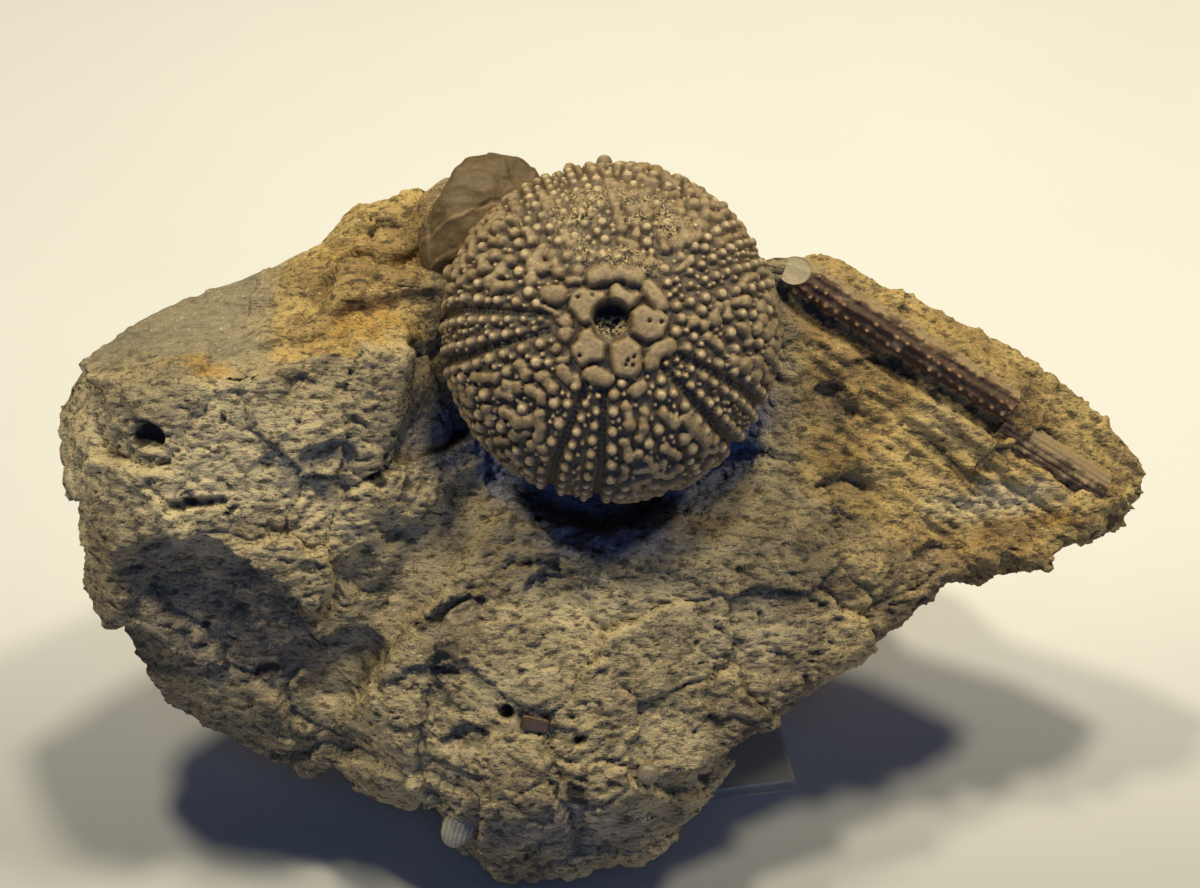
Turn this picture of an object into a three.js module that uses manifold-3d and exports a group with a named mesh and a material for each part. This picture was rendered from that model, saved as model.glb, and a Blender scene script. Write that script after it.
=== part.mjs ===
// A fossil sea urchin in its block of limestone, leaned back on a small clear stand.
// Millimetres, +Z up. The origin is on the shelf, midway along and across the whole specimen.
import * as THREE from "three";
import { ConvexGeometry } from "three/addons/geometries/ConvexGeometry.js";
import { mergeVertices } from "three/addons/utils/BufferGeometryUtils.js";
import Module from "manifold-3d";

const wasm = await Module();
wasm.setup();

// ---- Driving dimensions -------------------------------------------------------------------

const LEAN = THREE.MathUtils.degToRad(45); // the face looks up at this angle above the horizon
const FACE_HEIGHT = 37.6; // of the middle of the test's widest ring, above the shelf
const GAP = 0.3; // left all round a piece that is bedded in another

const STAND = {
  width: 32,
  depth: 32,
  thickness: 1.6,
  bevel: 0.15,
  turn: THREE.MathUtils.degToRad(8.5),
  centre: [-0.5, 6.5],
};

const TEST = {
  radius: 13.4, // over the knobs at the widest ring
  height: 14.8,
  widest: 6, // height of the widest ring above the base
  baseRadius: 9.4,
  hole: { radius: 1.4, depth: 1.1 }, // the periproct, choked with sediment
  ring: { radius: 4.3, rise: 0.35, lobe: 0.3 }, // the ten plates round it
  groove: { depth: 0.3, halfAngle: THREE.MathUtils.degToRad(9) }, // the five ambulacra
  tilt: THREE.MathUtils.degToRad(3), // of its axis, up the face
  centre: [0.8, 8.7, 0],
  around: 80, // facets
  bedded: 1.2, // depth of the base in the block
};

const SPINE = { radius: 1.5, sides: 16, start: [15.9, 14.2, -6.2], end: [33.9, 3.2, -7.2] };
const SPINE_END = { radius: 1.4, sides: 14, start: [33.2, 1.6, -8.6], end: [42.2, -3.8, -9.8] };

// Smaller fossils: rounded lumps, by their half sizes along, across and through, and their turn.
const LAMP_SHELL = { half: [5.6, 5.0, 3.6], centre: [-10.2, 17.6, -5.6], turn: 25, detail: [18, 12] };
const OYSTER = { half: [2.1, 1.3, 0.8], centre: [-11.6, -31.6, -8.6], turn: 60, detail: [12, 8] };
const OSSICLE = { half: [0.9, 0.9, 0.7], centre: [3.9, -26.4, -3.5], turn: 0, detail: [12, 8] };
const SCUTE = { size: [2.3, 1.2, 0.9], centre: [-5.2, -22.4, -3.4], turn: -12 };

// ---- Frames and helpers --------------------------------------------------------------------

// Everything hangs from the specimen. The face is the leaned side that shows the fossils: its
// frame runs across to the right, up the face, and out of it towards the viewer.
const specimen = new THREE.Group();
const face = new THREE.Group();
face.position.z = FACE_HEIGHT;
face.rotation.x = Math.PI / 2 - LEAN;
specimen.add(face);
face.updateMatrixWorld();

const onFace = ([across, up, out]) => face.localToWorld(new THREE.Vector3(across, up, out));
const fromFace = ([x, y, z]) => new THREE.Vector3(x, y, z).add(face.position);

// Joins a geometry's shared corners, so that only closed triangles are left.
function welded(geometry) {
  const plain = geometry.index ? geometry.toNonIndexed() : geometry.clone();
  plain.deleteAttribute("normal");
  plain.deleteAttribute("uv");
  return mergeVertices(plain, 1e-3);
}

function solidOf(geometry) {
  const mesh = welded(geometry);
  return new wasm.Manifold(
    new wasm.Mesh({
      numProp: 3,
      vertProperties: new Float32Array(mesh.attributes.position.array),
      triVerts: new Uint32Array(mesh.index.array),
    }),
  );
}

function geometryOf(solid) {
  const mesh = solid.getMesh();
  const corners = new Float32Array(mesh.numVert * 3);
  for (let i = 0; i < mesh.numVert; i += 1) {
    corners.set(mesh.vertProperties.subarray(i * mesh.numProp, i * mesh.numProp + 3), i * 3);
  }
  return new THREE.BufferGeometry()
    .setAttribute("position", new THREE.BufferAttribute(corners, 3))
    .setIndex(new THREE.BufferAttribute(mesh.triVerts, 1))
    .toNonIndexed();
}

// Moves every corner of a geometry through a function that changes it in place.
function reshape(geometry, move) {
  const corner = new THREE.Vector3();
  const position = geometry.attributes.position;
  for (let i = 0; i < position.count; i += 1) {
    corner.fromBufferAttribute(position, i);
    move(corner);
    position.setXYZ(i, corner.x, corner.y, corner.z);
  }
  return geometry;
}

function piece(name, geometry, colour, roughness = 0.95) {
  const material = new THREE.MeshStandardMaterial({ color: colour, roughness, metalness: 0 });
  const mesh = new THREE.Mesh(geometry, material);
  mesh.name = name;
  return mesh;
}

// ---- The test: a low dome, +Z along its axis --------------------------------------------------

// A point of the dome's outline, by its angle up or down from the widest ring.
function domePoint(angle) {
  const above = angle >= 0;
  const rise = above ? TEST.height - TEST.ring.rise - TEST.widest : TEST.widest;
  const bulge = above ? 2.25 : 2.0;
  const run = Math.abs(Math.cos(angle)) ** (2 / bulge);
  const lift = Math.sign(angle) * Math.abs(Math.sin(angle)) ** (2 / bulge);
  return new THREE.Vector2(TEST.radius * run, TEST.widest + rise * lift);
}

// The test, drawn from its base at z = 0 and then lowered to bring its widest ring there.
function testGeometry(grow = 0) {
  const { hole, ring } = TEST;
  const outline = [new THREE.Vector2(0, 0), new THREE.Vector2(TEST.baseRadius, 0)];
  const lowest = -Math.acos(TEST.baseRadius / TEST.radius);
  const stepsUp = 18;
  for (let i = 1; i <= stepsUp; i += 1) {
    const point = domePoint(THREE.MathUtils.lerp(lowest, Math.PI / 2, i / stepsUp));
    if (point.x > ring.radius + 0.3) outline.push(point);
  }
  const top = TEST.height;
  outline.push(new THREE.Vector2(ring.radius, top - 0.55));
  outline.push(new THREE.Vector2(ring.radius - 0.6, top - 0.1));
  outline.push(new THREE.Vector2(hole.radius + 0.5, top));
  outline.push(new THREE.Vector2(hole.radius, top - 0.4));
  outline.push(new THREE.Vector2(hole.radius - 0.2, top - hole.depth));
  outline.push(new THREE.Vector2(0, top - hole.depth));
  // Lathe turns its outline about Y, so the dome is stood up about Z.
  const dome = new THREE.LatheGeometry(outline, TEST.around).rotateX(Math.PI / 2);
  reshape(dome, (corner) => {
    const around = Math.atan2(corner.y, corner.x);
    const outward = Math.hypot(corner.x, corner.y);
    const sector = (2 * Math.PI) / 5;
    const fromAmbulacrum = Math.abs(((around + 2 * Math.PI) % sector) - sector / 2);
    const across = Math.min(1, fromAmbulacrum / TEST.groove.halfAngle);
    const open = THREE.MathUtils.smoothstep(outward, ring.radius, ring.radius + 3);
    const sunk = corner.z > 0.5 ? TEST.groove.depth * open * (1 - across ** 2) : 0;
    const scale = outward > 0 ? (outward - sunk + grow) / outward : 1;
    const onRing = corner.z > TEST.height - 1 && outward > hole.radius && outward < ring.radius + 0.1;
    corner.x *= scale;
    corner.y *= scale;
    if (onRing) corner.z += ring.lobe * (0.5 * Math.cos(5 * around) - 0.5);
    corner.z += corner.z > TEST.widest ? grow : corner.z < 0.5 ? -grow : 0;
  });
  return dome.translate(0, 0, -TEST.widest);
}

const test = piece("urchin_test", testGeometry(), 0xa08c74, 0.7);
test.position.set(...TEST.centre);
test.rotation.x = -TEST.tilt;
face.add(test);

// ---- Spines: rods with flat broken ends -------------------------------------------------------

function rodGeometry({ radius, sides, start, end }, grow = 0) {
  const from = new THREE.Vector3(...start);
  const to = new THREE.Vector3(...end);
  const along = to.clone().sub(from).normalize();
  from.addScaledVector(along, -grow);
  to.addScaledVector(along, grow);
  const section = new THREE.Shape().absarc(0, 0, radius + grow, 0, 2 * Math.PI);
  return new THREE.ExtrudeGeometry(section, {
    steps: 6,
    curveSegments: sides,
    bevelEnabled: false,
    extrudePath: new THREE.LineCurve3(from, to),
  });
}

const spine = piece("spine", rodGeometry(SPINE), 0x5d4030, 0.75);
const spineEnd = piece("spine_end", rodGeometry(SPINE_END), 0x6d5038, 0.8);
face.add(spine, spineEnd);

// ---- Smaller fossils ---------------------------------------------------------------------------

function lumpGeometry({ half, detail }, grow = 0) {
  return new THREE.SphereGeometry(1, ...detail).scale(...half.map((size) => size + grow));
}

function scuteGeometry(grow = 0) {
  return new THREE.BoxGeometry(...SCUTE.size.map((size) => size + 2 * grow));
}

function bed(mesh, { centre, turn }) {
  mesh.position.set(...centre);
  mesh.rotation.z = THREE.MathUtils.degToRad(turn);
  face.add(mesh);
  return mesh;
}

const oyster = bed(piece("oyster", lumpGeometry(OYSTER), 0xa9a496, 0.6), OYSTER);
const ossicle = bed(piece("ossicle", lumpGeometry(OSSICLE), 0x8a7c66, 0.6), OSSICLE);
const scute = bed(piece("scute", scuteGeometry(), 0x6b4a2c, 0.6), SCUTE);
const lampShell = bed(piece("lamp_shell", lumpGeometry(LAMP_SHELL), 0x6f6046, 0.6), LAMP_SHELL);
face.updateMatrixWorld();

// The room that a fossil takes up in the specimen, with a gap all round it.
function pocket(mesh, grown) {
  return solidOf(grown.applyMatrix4(mesh.matrixWorld));
}

// The lamp shell runs in behind the test, which hides and cuts off its inner side.
const testPocket = pocket(test, testGeometry(GAP));
const lampShellPocket = pocket(lampShell, lumpGeometry(LAMP_SHELL, GAP));
const wholeShell = pocket(lampShell, lumpGeometry(LAMP_SHELL));
lampShell.geometry = geometryOf(wholeShell.subtract(testPocket))
  .applyMatrix4(lampShell.matrixWorld.clone().invert());

// ---- The block: overlapping wedges of stone, each the hull of its corners --------------------

// Corners on the face are [across, up, out]; hidden corners are [x, y, z] from the face's origin.
const SHOULDER = [
  [-43.3, 5.9, -4], [-37.9, 3.8, 1], [-34.4, 4.5, 2.4], [-27.4, 5.3, 2.8], [-20.7, 7.2, 2.3],
  [-14.4, 7.2, 0.2], [-37.1, 8.6, -6], [-35.4, 12.2, -9], [-45, 3, -7], [-44.8, -2, -8],
  [-39.8, 0.2, -2], [-39.8, -6, -2.5], [-43.4, -9, -9], [-38, -9.3, -2], [-32.9, -6, 0.8],
  [-28.6, -9.4, -0.6], [-23, -13.5, -2.6], [-16.5, -5, -2.6], [-30, 0, -20], [-18, 2, -18],
  [-24, 12, -8], [-36, -10, -16],
];
const FOOT = [
  [-38.6, -9, -2.6], [-43.6, -8.5, -9], [-40.8, -16.1, -10], [-38.3, -20.3, -11], [-37.1, -22.8, -13],
  [-34, -24.7, -14], [-35.9, -16.5, -6.4], [-31.5, -19.9, -8.4], [-29.2, -23.9, -10.4],
  [-28.9, -26.2, -14], [-24.2, -28.7, -14], [-28.2, -10, -1.4], [-23.2, -14.5, -3.4],
  [-20.8, -20, -7.4], [-22.6, -25, -9.6], [-30, -8, -20], [-15, -16, -18], [-24, -24, -20],
];
const SLAB = [
  [-19.8, -19.9, -5.2], [-14.3, -13.5, -3.8], [-8, -9.4, -2.6], [0, -8, -2.2], [9, -7.8, -2.6],
  [15, -5, -5.4], [21.5, -6, -6.8], [29, -10.8, -8.2], [27.8, -13.6, -10.5], [23, -16.7, -12],
  [19.6, -18.4, -11.8], [16.1, -20.8, -10.6], [13.7, -22.9, -8.8], [9.8, -25.1, -5.2], [7, -26.9, -4],
  [1.6, -27.3, -2.8], [-6.5, -28.4, -3.4], [-16.2, -26, -6.2], [-20.7, -29.4, -13], [-17.2, -31.5, -13.2],
  [-12, -12, -20], [18, -6, -18], [25, -10, -15],
];
const SNOUT = [
  [9.8, -25.2, -5.4], [3.6, -27, -3.2], [-0.8, -29, -2.8], [-6.5, -28.6, -3.4], [-12.6, -29.4, -7],
  [12.3, -26.5, -11], [10.2, -28.4, -11], [8.5, -30.9, -11], [4.7, -33.8, -11], [3.5, -35.7, -11],
  [1.2, -35.4, -11], [-4.2, -37.4, -11.5], [-8.5, -37.8, -12], [-9.5, -37.2, -12.2], [-11.5, -34.4, -12],
  [-14.6, -33.8, -13], [0, -28, -18], [-10, -28, -18],
];
const WING = [
  [12.7, 16, -5.5], [15.5, 16.2, -6.5], [20.6, 14.9, -7.5], [29, 11.2, -8.6], [36.7, 6.3, -9.6],
  [42.8, 2.4, -10.6], [47, -1.5, -12], [47.3, -4.4, -12.6], [42.8, -8.3, -12.6], [38.6, -9, -9.8],
  [16.5, 9, -8], [32.6, -0.3, -7.2], [42.2, -5.4, -9.8], [24.5, 4.5, -7], [30, -9.5, -8.6],
  [15.5, -2, -7.6], [40, 2, -15.5], [38, -6.5, -15.5], [20, 10, -20], [20, -6, -19],
];
const LEDGE = [
  [28, -9.6, -7.6], [33.5, -8.2, -7.8], [38.4, -9.3, -8.8], [38.4, -10.9, -10.2], [33.4, -11.6, -10.2],
  [29.6, -12.2, -10.2], [27, -11.5, -9], [27, -8, -13], [36, -6, -13],
];
const CRAG = [
  [-35.4, 12.2, -9.2], [-33.6, 13.2, -10], [-30.3, 13.4, -10.5], [-26.5, 15, -10.3],
  [-23.5, 17.4, -10.4], [-27, 7, -0.6], [-20.7, 7.6, 0.4], [-14.8, 8.2, -1.6], [-20, 4, -16],
  [-32, 8, -18], [-24, 12, -20],
];
const GUSSET = [
  [-24, -18, -6.4], [-20.6, -20.6, -6.6], [-22.4, -24.6, -9.4], [-20.8, -28, -12], [-26, -24, -11],
  [-18, -14, -8], [-20, -22, -20], [-12, -24, -18], [-25, -12, -4],
];
const BACK_RIDGE = [
  [-25.6, 15.9, -10], [-21, 19.9, -10], [-19.7, 19.4, -9.5], [-16.7, 20.8, -9], [-14.4, 21.4, -9],
  [-6, 21.4, -10], [6, 20, -10.5], [13, 15.8, -7], [-24, 11, -5], [-16, 11, -4], [-12, 14, -5.4],
  [-2, 13, -7.6], [10, 8, -8], [-20, 4, -16], [10, 4, -16], [-18, 14, -20], [6, 14, -20],
];
const BELLY = [
  [-14, -5, -35.7], [8, -6, -35.7], [12, 6, -35.7], [8, 19, -35.7], [-9, 20, -35.7],
  [-14, 10, -35.7], [-33, -3, -23], [-35, 10, -16], [-28, 24, -15], [-10, 29, -14], [13, 27.5, -14],
  [28, 21, -15], [33, 9, -18], [19, 1, -23], [-33, 14, -2], [-18, 21, 2], [10, 21, 1], [32, 12, -6],
  [-8, -15, -33],
];
const FLANK = [
  [30, 17, -7], [41, 9, -12.5], [35, 4, -15], [18, 20, -3], [24, 10, -20], [22, 4, -10],
  [16, 22, -12],
];

// A trench cleared round the test when the fossil was dug out of the block.
function trenchGeometry() {
  const bottom = TEST.bedded - TEST.widest;
  const outline = [
    new THREE.Vector2(0, bottom),
    new THREE.Vector2(12.6, bottom),
    new THREE.Vector2(15, bottom + 2.6),
    new THREE.Vector2(18.5, bottom + 12),
    new THREE.Vector2(0, bottom + 12),
  ];
  return new THREE.LatheGeometry(outline, 28).rotateX(Math.PI / 2).translate(0, -1, 0);
}

function blockGeometry() {
  const inTheFace = [SHOULDER, FOOT, GUSSET, SLAB, SNOUT, WING, LEDGE, CRAG, BACK_RIDGE];
  const wedges = [
    ...[BELLY, FLANK].map((corners) => corners.map(fromFace)),
    ...inTheFace.map((corners) => corners.map(onFace)),
  ];
  const cuts = [
    pocket(test, trenchGeometry()),
    testPocket,
    lampShellPocket,
    pocket(spine, rodGeometry(SPINE, GAP)),
    pocket(spineEnd, rodGeometry(SPINE_END, GAP)),
    pocket(oyster, lumpGeometry(OYSTER, GAP)),
    pocket(ossicle, lumpGeometry(OSSICLE, GAP)),
    pocket(scute, scuteGeometry(GAP)),
  ];
  const solids = wedges.map((corners) => solidOf(new ConvexGeometry(corners)));
  const block = solids.reduce((whole, wedge) => whole.add(wedge));
  return geometryOf(cuts.reduce((whole, cut) => whole.subtract(cut), block));
}

specimen.add(piece("matrix_block", blockGeometry(), 0x8d8673));

// ---- The stand ---------------------------------------------------------------------------------

function standGeometry() {
  const { width, depth, thickness, bevel } = STAND;
  const half = { x: width / 2 - bevel, y: depth / 2 - bevel };
  const outline = new THREE.Shape([
    new THREE.Vector2(-half.x, -half.y),
    new THREE.Vector2(half.x, -half.y),
    new THREE.Vector2(half.x, half.y),
    new THREE.Vector2(-half.x, half.y),
  ]);
  return new THREE.ExtrudeGeometry(outline, {
    depth: thickness - 2 * bevel,
    bevelThickness: bevel,
    bevelSize: bevel,
    bevelSegments: 1,
  });
}

const stand = piece("stand", standGeometry(), 0xe8ecec, 0.1);
stand.position.set(...STAND.centre, STAND.bevel);
stand.rotation.z = STAND.turn;
specimen.add(stand);

// ---- Origin ------------------------------------------------------------------------------------

const middle = new THREE.Box3().setFromObject(specimen).getCenter(new THREE.Vector3());
specimen.position.set(-middle.x, -middle.y, 0);

const part = new THREE.Group();
part.add(specimen);

export default part;
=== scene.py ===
"""A fossil sea urchin in its block of limestone, leaned back on a small clear plate."""

from __future__ import annotations

import itertools
import logging
import math
from collections.abc import Iterable, Sequence
from dataclasses import dataclass, field
from enum import Enum
from typing import Any

import bmesh
import bpy
import numpy as np
from mathutils import Matrix, Vector
from mathutils.bvhtree import BVHTree


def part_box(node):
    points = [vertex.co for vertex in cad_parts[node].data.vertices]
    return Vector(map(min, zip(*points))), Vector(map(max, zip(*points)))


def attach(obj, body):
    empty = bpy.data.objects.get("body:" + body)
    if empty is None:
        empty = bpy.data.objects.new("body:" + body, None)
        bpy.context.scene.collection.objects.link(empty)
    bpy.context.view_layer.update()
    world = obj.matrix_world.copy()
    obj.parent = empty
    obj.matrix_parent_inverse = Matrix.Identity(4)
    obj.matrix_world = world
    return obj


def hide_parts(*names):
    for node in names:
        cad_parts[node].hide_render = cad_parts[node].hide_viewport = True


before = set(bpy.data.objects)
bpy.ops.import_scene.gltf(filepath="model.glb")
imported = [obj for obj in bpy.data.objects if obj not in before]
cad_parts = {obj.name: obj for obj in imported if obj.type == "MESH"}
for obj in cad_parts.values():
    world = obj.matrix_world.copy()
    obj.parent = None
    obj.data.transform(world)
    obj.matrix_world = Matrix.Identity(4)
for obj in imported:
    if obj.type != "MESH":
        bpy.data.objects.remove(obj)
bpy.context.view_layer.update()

MM = 0.001
BODY = "root"
FAR = 1e9
TINY = 1e-9
WELD = 1e-7
Array = np.ndarray
Pair = tuple[float, float]
Triple = tuple[float, float, float]
Colour = Triple
log = logging.getLogger("sea_urchin_block")


# ---- Numbers over points ----


def ease(values: Array, low: float, high: float) -> Array:
    """Rise smoothly from 0 at low to 1 at high, or fall where high is below low."""
    part = np.clip((values - low) / (high - low), 0.0, 1.0)
    return part * part * (3.0 - 2.0 * part)


def oval(points: Array, across: float, up: float, wide: float, tall: float) -> Array:
    """Give how far out each place is in an oval with its half sizes, 1 being the rim."""
    return np.hypot((points[:, 0] - across) / wide, (points[:, 1] - up) / tall)


def beside_path(points: Array, path: Sequence[Array]) -> Array:
    """Give how far each point lies from a path.

    Args:
        points: The points, one row each.
        path: The path's corners, or one place.

    Returns:
        One distance for each point.
    """
    nearest = np.full(len(points), FAR)
    for start, end in zip(path, path[1:] or path):
        run = end - start
        length = max(float(run @ run), TINY)
        along = np.clip((points - start) @ run / length, 0.0, 1.0)
        away = points - start - along[:, None] * run
        nearest = np.minimum(nearest, np.sqrt((away * away).sum(axis=1)))
    return nearest


class Noise:
    """Natural-looking irregularity in space, the same on every run."""

    ENTRIES = 256
    LOUDNESS = 1.6

    def __init__(self, seed: int) -> None:
        """Draw the tables of random numbers.

        Args:
            seed: Where the random draws start.
        """
        rng = np.random.default_rng(seed)
        order = rng.permutation(self.ENTRIES)
        self._order = np.concatenate([order, order])
        slopes = rng.normal(size=(self.ENTRIES, 3))
        self._slopes = slopes / np.linalg.norm(slopes, axis=1, keepdims=True)
        self._spots = rng.random((self.ENTRIES, 3))

    def _draw(self, cells: Array) -> Array:
        """Give each cell of space the number of its own random entry."""
        x, y, z = (cells[:, axis] & (self.ENTRIES - 1) for axis in range(3))
        return self._order[self._order[self._order[x] + y] + z]

    def smooth(self, points: Array) -> Array:
        """Give soft noise of about -1 to 1 whose swells are one unit apart.

        Args:
            points: The places, one row each.

        Returns:
            One height for each place.
        """
        cell = np.floor(points).astype(int)
        part = points - cell
        grade = part**3 * (part * (part * 6.0 - 15.0) + 10.0)
        total = np.zeros(len(points))
        for corner in itertools.product((0, 1), repeat=3):
            offset = np.array(corner)
            slope = self._slopes[self._draw(cell + offset)]
            weight = np.where(offset == 1, grade, 1.0 - grade).prod(axis=1)
            total += weight * ((part - offset) * slope).sum(axis=1)
        return total * self.LOUDNESS

    def fractal(self, points: Array, size: float, octaves: int, gain: float = 0.5) -> Array:
        """Add up soft noise at a size, half of it, a quarter and so on.

        Args:
            points: The places, one row each.
            size: The distance between the largest swells.
            octaves: How many sizes are added.
            gain: The height of each size against the one before.

        Returns:
            One height for each place.
        """
        total = np.zeros(len(points))
        for octave in range(octaves):
            scale = 2.0**octave / size
            total += gain**octave * self.smooth(points * scale + 17.3 * octave)
        return total

    def drift(self, points: Array, size: float, octaves: int, shifts: Sequence[float]) -> Array:
        """Give each place a soft step in three directions, each read at its own shift."""
        return np.stack([self.fractal(points + shift, size, octaves) for shift in shifts], axis=1)

    def chips(self, points: Array, size: float) -> tuple[Array, Array, Array]:
        """Split space into flakes that each lean their own way.

        Args:
            points: The places, one row each.
            size: The usual width of a flake.

        Returns:
            The height of the flake at each place against its middle, how near the place is to
            the joint with the next flake, from 0 on the joint, and the flake's own number from
            0 to 1.
        """
        scaled = points / size
        cell = np.floor(scaled).astype(int)
        nearest = np.full(len(points), FAR)
        second = np.full(len(points), FAR)
        height = np.zeros(len(points))
        own = np.zeros(len(points))
        for step in itertools.product((-1, 0, 1), repeat=3):
            other = cell + np.array(step)
            entry = self._draw(other)
            away = scaled - (other + self._spots[entry])
            distance = np.sqrt((away * away).sum(axis=1))
            closer = distance < nearest
            second = np.where(closer, nearest, np.minimum(second, distance))
            lean = (away * self._slopes[entry]).sum(axis=1) * size
            height = np.where(closer, lean, height)
            own = np.where(closer, entry / (self.ENTRIES - 1), own)
            nearest = np.where(closer, distance, nearest)
        return height, second - nearest, own


# ---- Frames ----


@dataclass(frozen=True)
class Face:
    """The leaned side of the block that shows the fossils, measured in millimetres.

    Its axes run across to the right, up the face, and out of it.
    """

    origin: Triple
    lean: float = math.radians(45)

    @classmethod
    def over_stand(cls, right: float = 0.5, forward: float = 6.5, height: float = 37.6) -> "Face":
        """Place the face from the stand that the block leans on.

        Args:
            right: How far the face's origin lies to the right of the stand's middle.
            forward: How far it lies in front of that middle.
            height: How high it lies over the shelf.

        Returns:
            The face.
        """
        low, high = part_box("stand")
        across = (low[0] + high[0]) / 2 / MM + right
        back = (low[1] + high[1]) / 2 / MM - forward
        return cls((across, back, height))

    @property
    def axes(self) -> Array:
        """The face's three axes, one row each."""
        sin, cos = math.sin(self.lean), math.cos(self.lean)
        return np.array([[1, 0, 0], [0, sin, cos], [0, -cos, sin]])

    def to_world(self, points: Array) -> Array:
        """Turn places on the face into metres in the object's frame."""
        return (points @ self.axes + np.array(self.origin)) * MM

    def from_world(self, points: Array) -> Array:
        """Turn places in metres in the object's frame into places on the face."""
        return (points / MM - np.array(self.origin)) @ self.axes.T


# ---- Meshes ----


def points_of(mesh: bpy.types.Mesh) -> Array:
    """Read the places of a mesh's vertices, one row each."""
    flat = np.empty(len(mesh.vertices) * 3)
    mesh.vertices.foreach_get("co", flat)
    return flat.reshape(-1, 3)


def normals_of(mesh: bpy.types.Mesh) -> Array:
    """Read the directions that a mesh's vertices face, one row each."""
    flat = np.empty(len(mesh.vertices) * 3)
    mesh.vertex_normals.foreach_get("vector", flat)
    return flat.reshape(-1, 3)


def move_points(mesh: bpy.types.Mesh, points: Array) -> None:
    """Put a mesh's vertices at new places, one row each."""
    mesh.vertices.foreach_set("co", np.ascontiguousarray(points).ravel())
    mesh.update()


def paint(mesh: bpy.types.Mesh, name: str, values: Array) -> None:
    """Store one number for each vertex, for a material to read."""
    layer = mesh.attributes.new(name, "FLOAT", "POINT")
    layer.data.foreach_set("value", values.astype(np.float32))


def mesh_from(form: bmesh.types.BMesh, name: str) -> bpy.types.Object:
    """Turn a finished form into an object.

    Args:
        form: The form, which is freed.
        name: The object's name.

    Returns:
        The object, smooth shaded.
    """
    mesh = bpy.data.meshes.new(name)
    form.to_mesh(mesh)
    form.free()
    mesh.shade_smooth()
    piece = bpy.data.objects.new(name, mesh)
    bpy.context.scene.collection.objects.link(piece)
    return piece


def soften(form: bmesh.types.BMesh, rounds: int) -> None:
    """Draw every vertex halfway towards its neighbours, some rounds over."""
    for _ in range(rounds):
        bmesh.ops.smooth_vert(
            form, verts=form.verts, factor=0.5, use_axis_x=True, use_axis_y=True, use_axis_z=True
        )


def skin_over(piece: bpy.types.Object, voxel: float) -> None:
    """Wrap a piece in one even skin, which becomes its mesh.

    Args:
        piece: The piece.
        voxel: The width of the skin's squares, in millimetres.
    """
    skin = piece.modifiers.new("skin", "REMESH")
    skin.mode = "VOXEL"
    skin.voxel_size = voxel * MM
    evaluated = piece.evaluated_get(bpy.context.evaluated_depsgraph_get())
    mesh = bpy.data.meshes.new_from_object(evaluated)
    old = piece.data
    piece.modifiers.clear()
    piece.data = mesh
    bpy.data.meshes.remove(old)


def finish_piece(
    piece: bpy.types.Object, material: bpy.types.Material, nodes: Sequence[str]
) -> None:
    """Dress a piece and tell the frame what it is.

    Args:
        piece: The finished piece.
        material: Its material.
        nodes: The CAD nodes that it stands for.
    """
    piece.data.materials.clear()
    piece.data.materials.append(material)
    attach(piece, BODY)
    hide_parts(*nodes)
    triangles = sum(len(face.vertices) - 2 for face in piece.data.polygons)
    log.info("%s: %d triangles", piece.name, triangles)


# ---- Shaders ----


class Signal:
    """One output of a shader node, joined to others with Python's operators."""

    def __init__(self, graph: "Graph", socket: bpy.types.NodeSocket) -> None:
        """Wrap an output among a material's nodes."""
        self.graph = graph
        self.socket = socket

    def _math(self, operation: str, *values: "Signal | float") -> "Signal":
        """Add one Math node that works on the given values in order."""
        node = self.graph.node("ShaderNodeMath", {"operation": operation}, dict(enumerate(values)))
        return Signal(self.graph, node.outputs[0])

    def __add__(self, other: "Signal | float") -> "Signal":
        """Add."""
        return self._math("ADD", self, other)

    __radd__ = __add__

    def __sub__(self, other: "Signal | float") -> "Signal":
        """Subtract from this."""
        return self._math("SUBTRACT", self, other)

    def __rsub__(self, other: "Signal | float") -> "Signal":
        """Subtract this from a number."""
        return self._math("SUBTRACT", other, self)

    def __mul__(self, other: "Signal | float") -> "Signal":
        """Multiply."""
        return self._math("MULTIPLY", self, other)

    __rmul__ = __mul__

    def most(self, other: "Signal | float") -> "Signal":
        """Take the larger of this and another."""
        return self._math("MAXIMUM", self, other)

    def least(self, other: "Signal | float") -> "Signal":
        """Take the smaller of this and another."""
        return self._math("MINIMUM", self, other)

    def grade(self, low: float, high: float) -> "Signal":
        """Rise smoothly from 0 at low to 1 at high."""
        node = self.graph.node(
            "ShaderNodeMapRange",
            {"interpolation_type": "SMOOTHSTEP"},
            {"Value": self, "From Min": low, "From Max": high},
        )
        return Signal(self.graph, node.outputs["Result"])

    def blend(self, under: "Signal | Colour", over: "Signal | Colour") -> "Signal":
        """Mix two colours, with this as the share of the second."""
        node = self.graph.node(
            "ShaderNodeMix", {"data_type": "RGBA"}, {0: self, 6: under, 7: over}
        )
        return Signal(self.graph, node.outputs[2])


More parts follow.
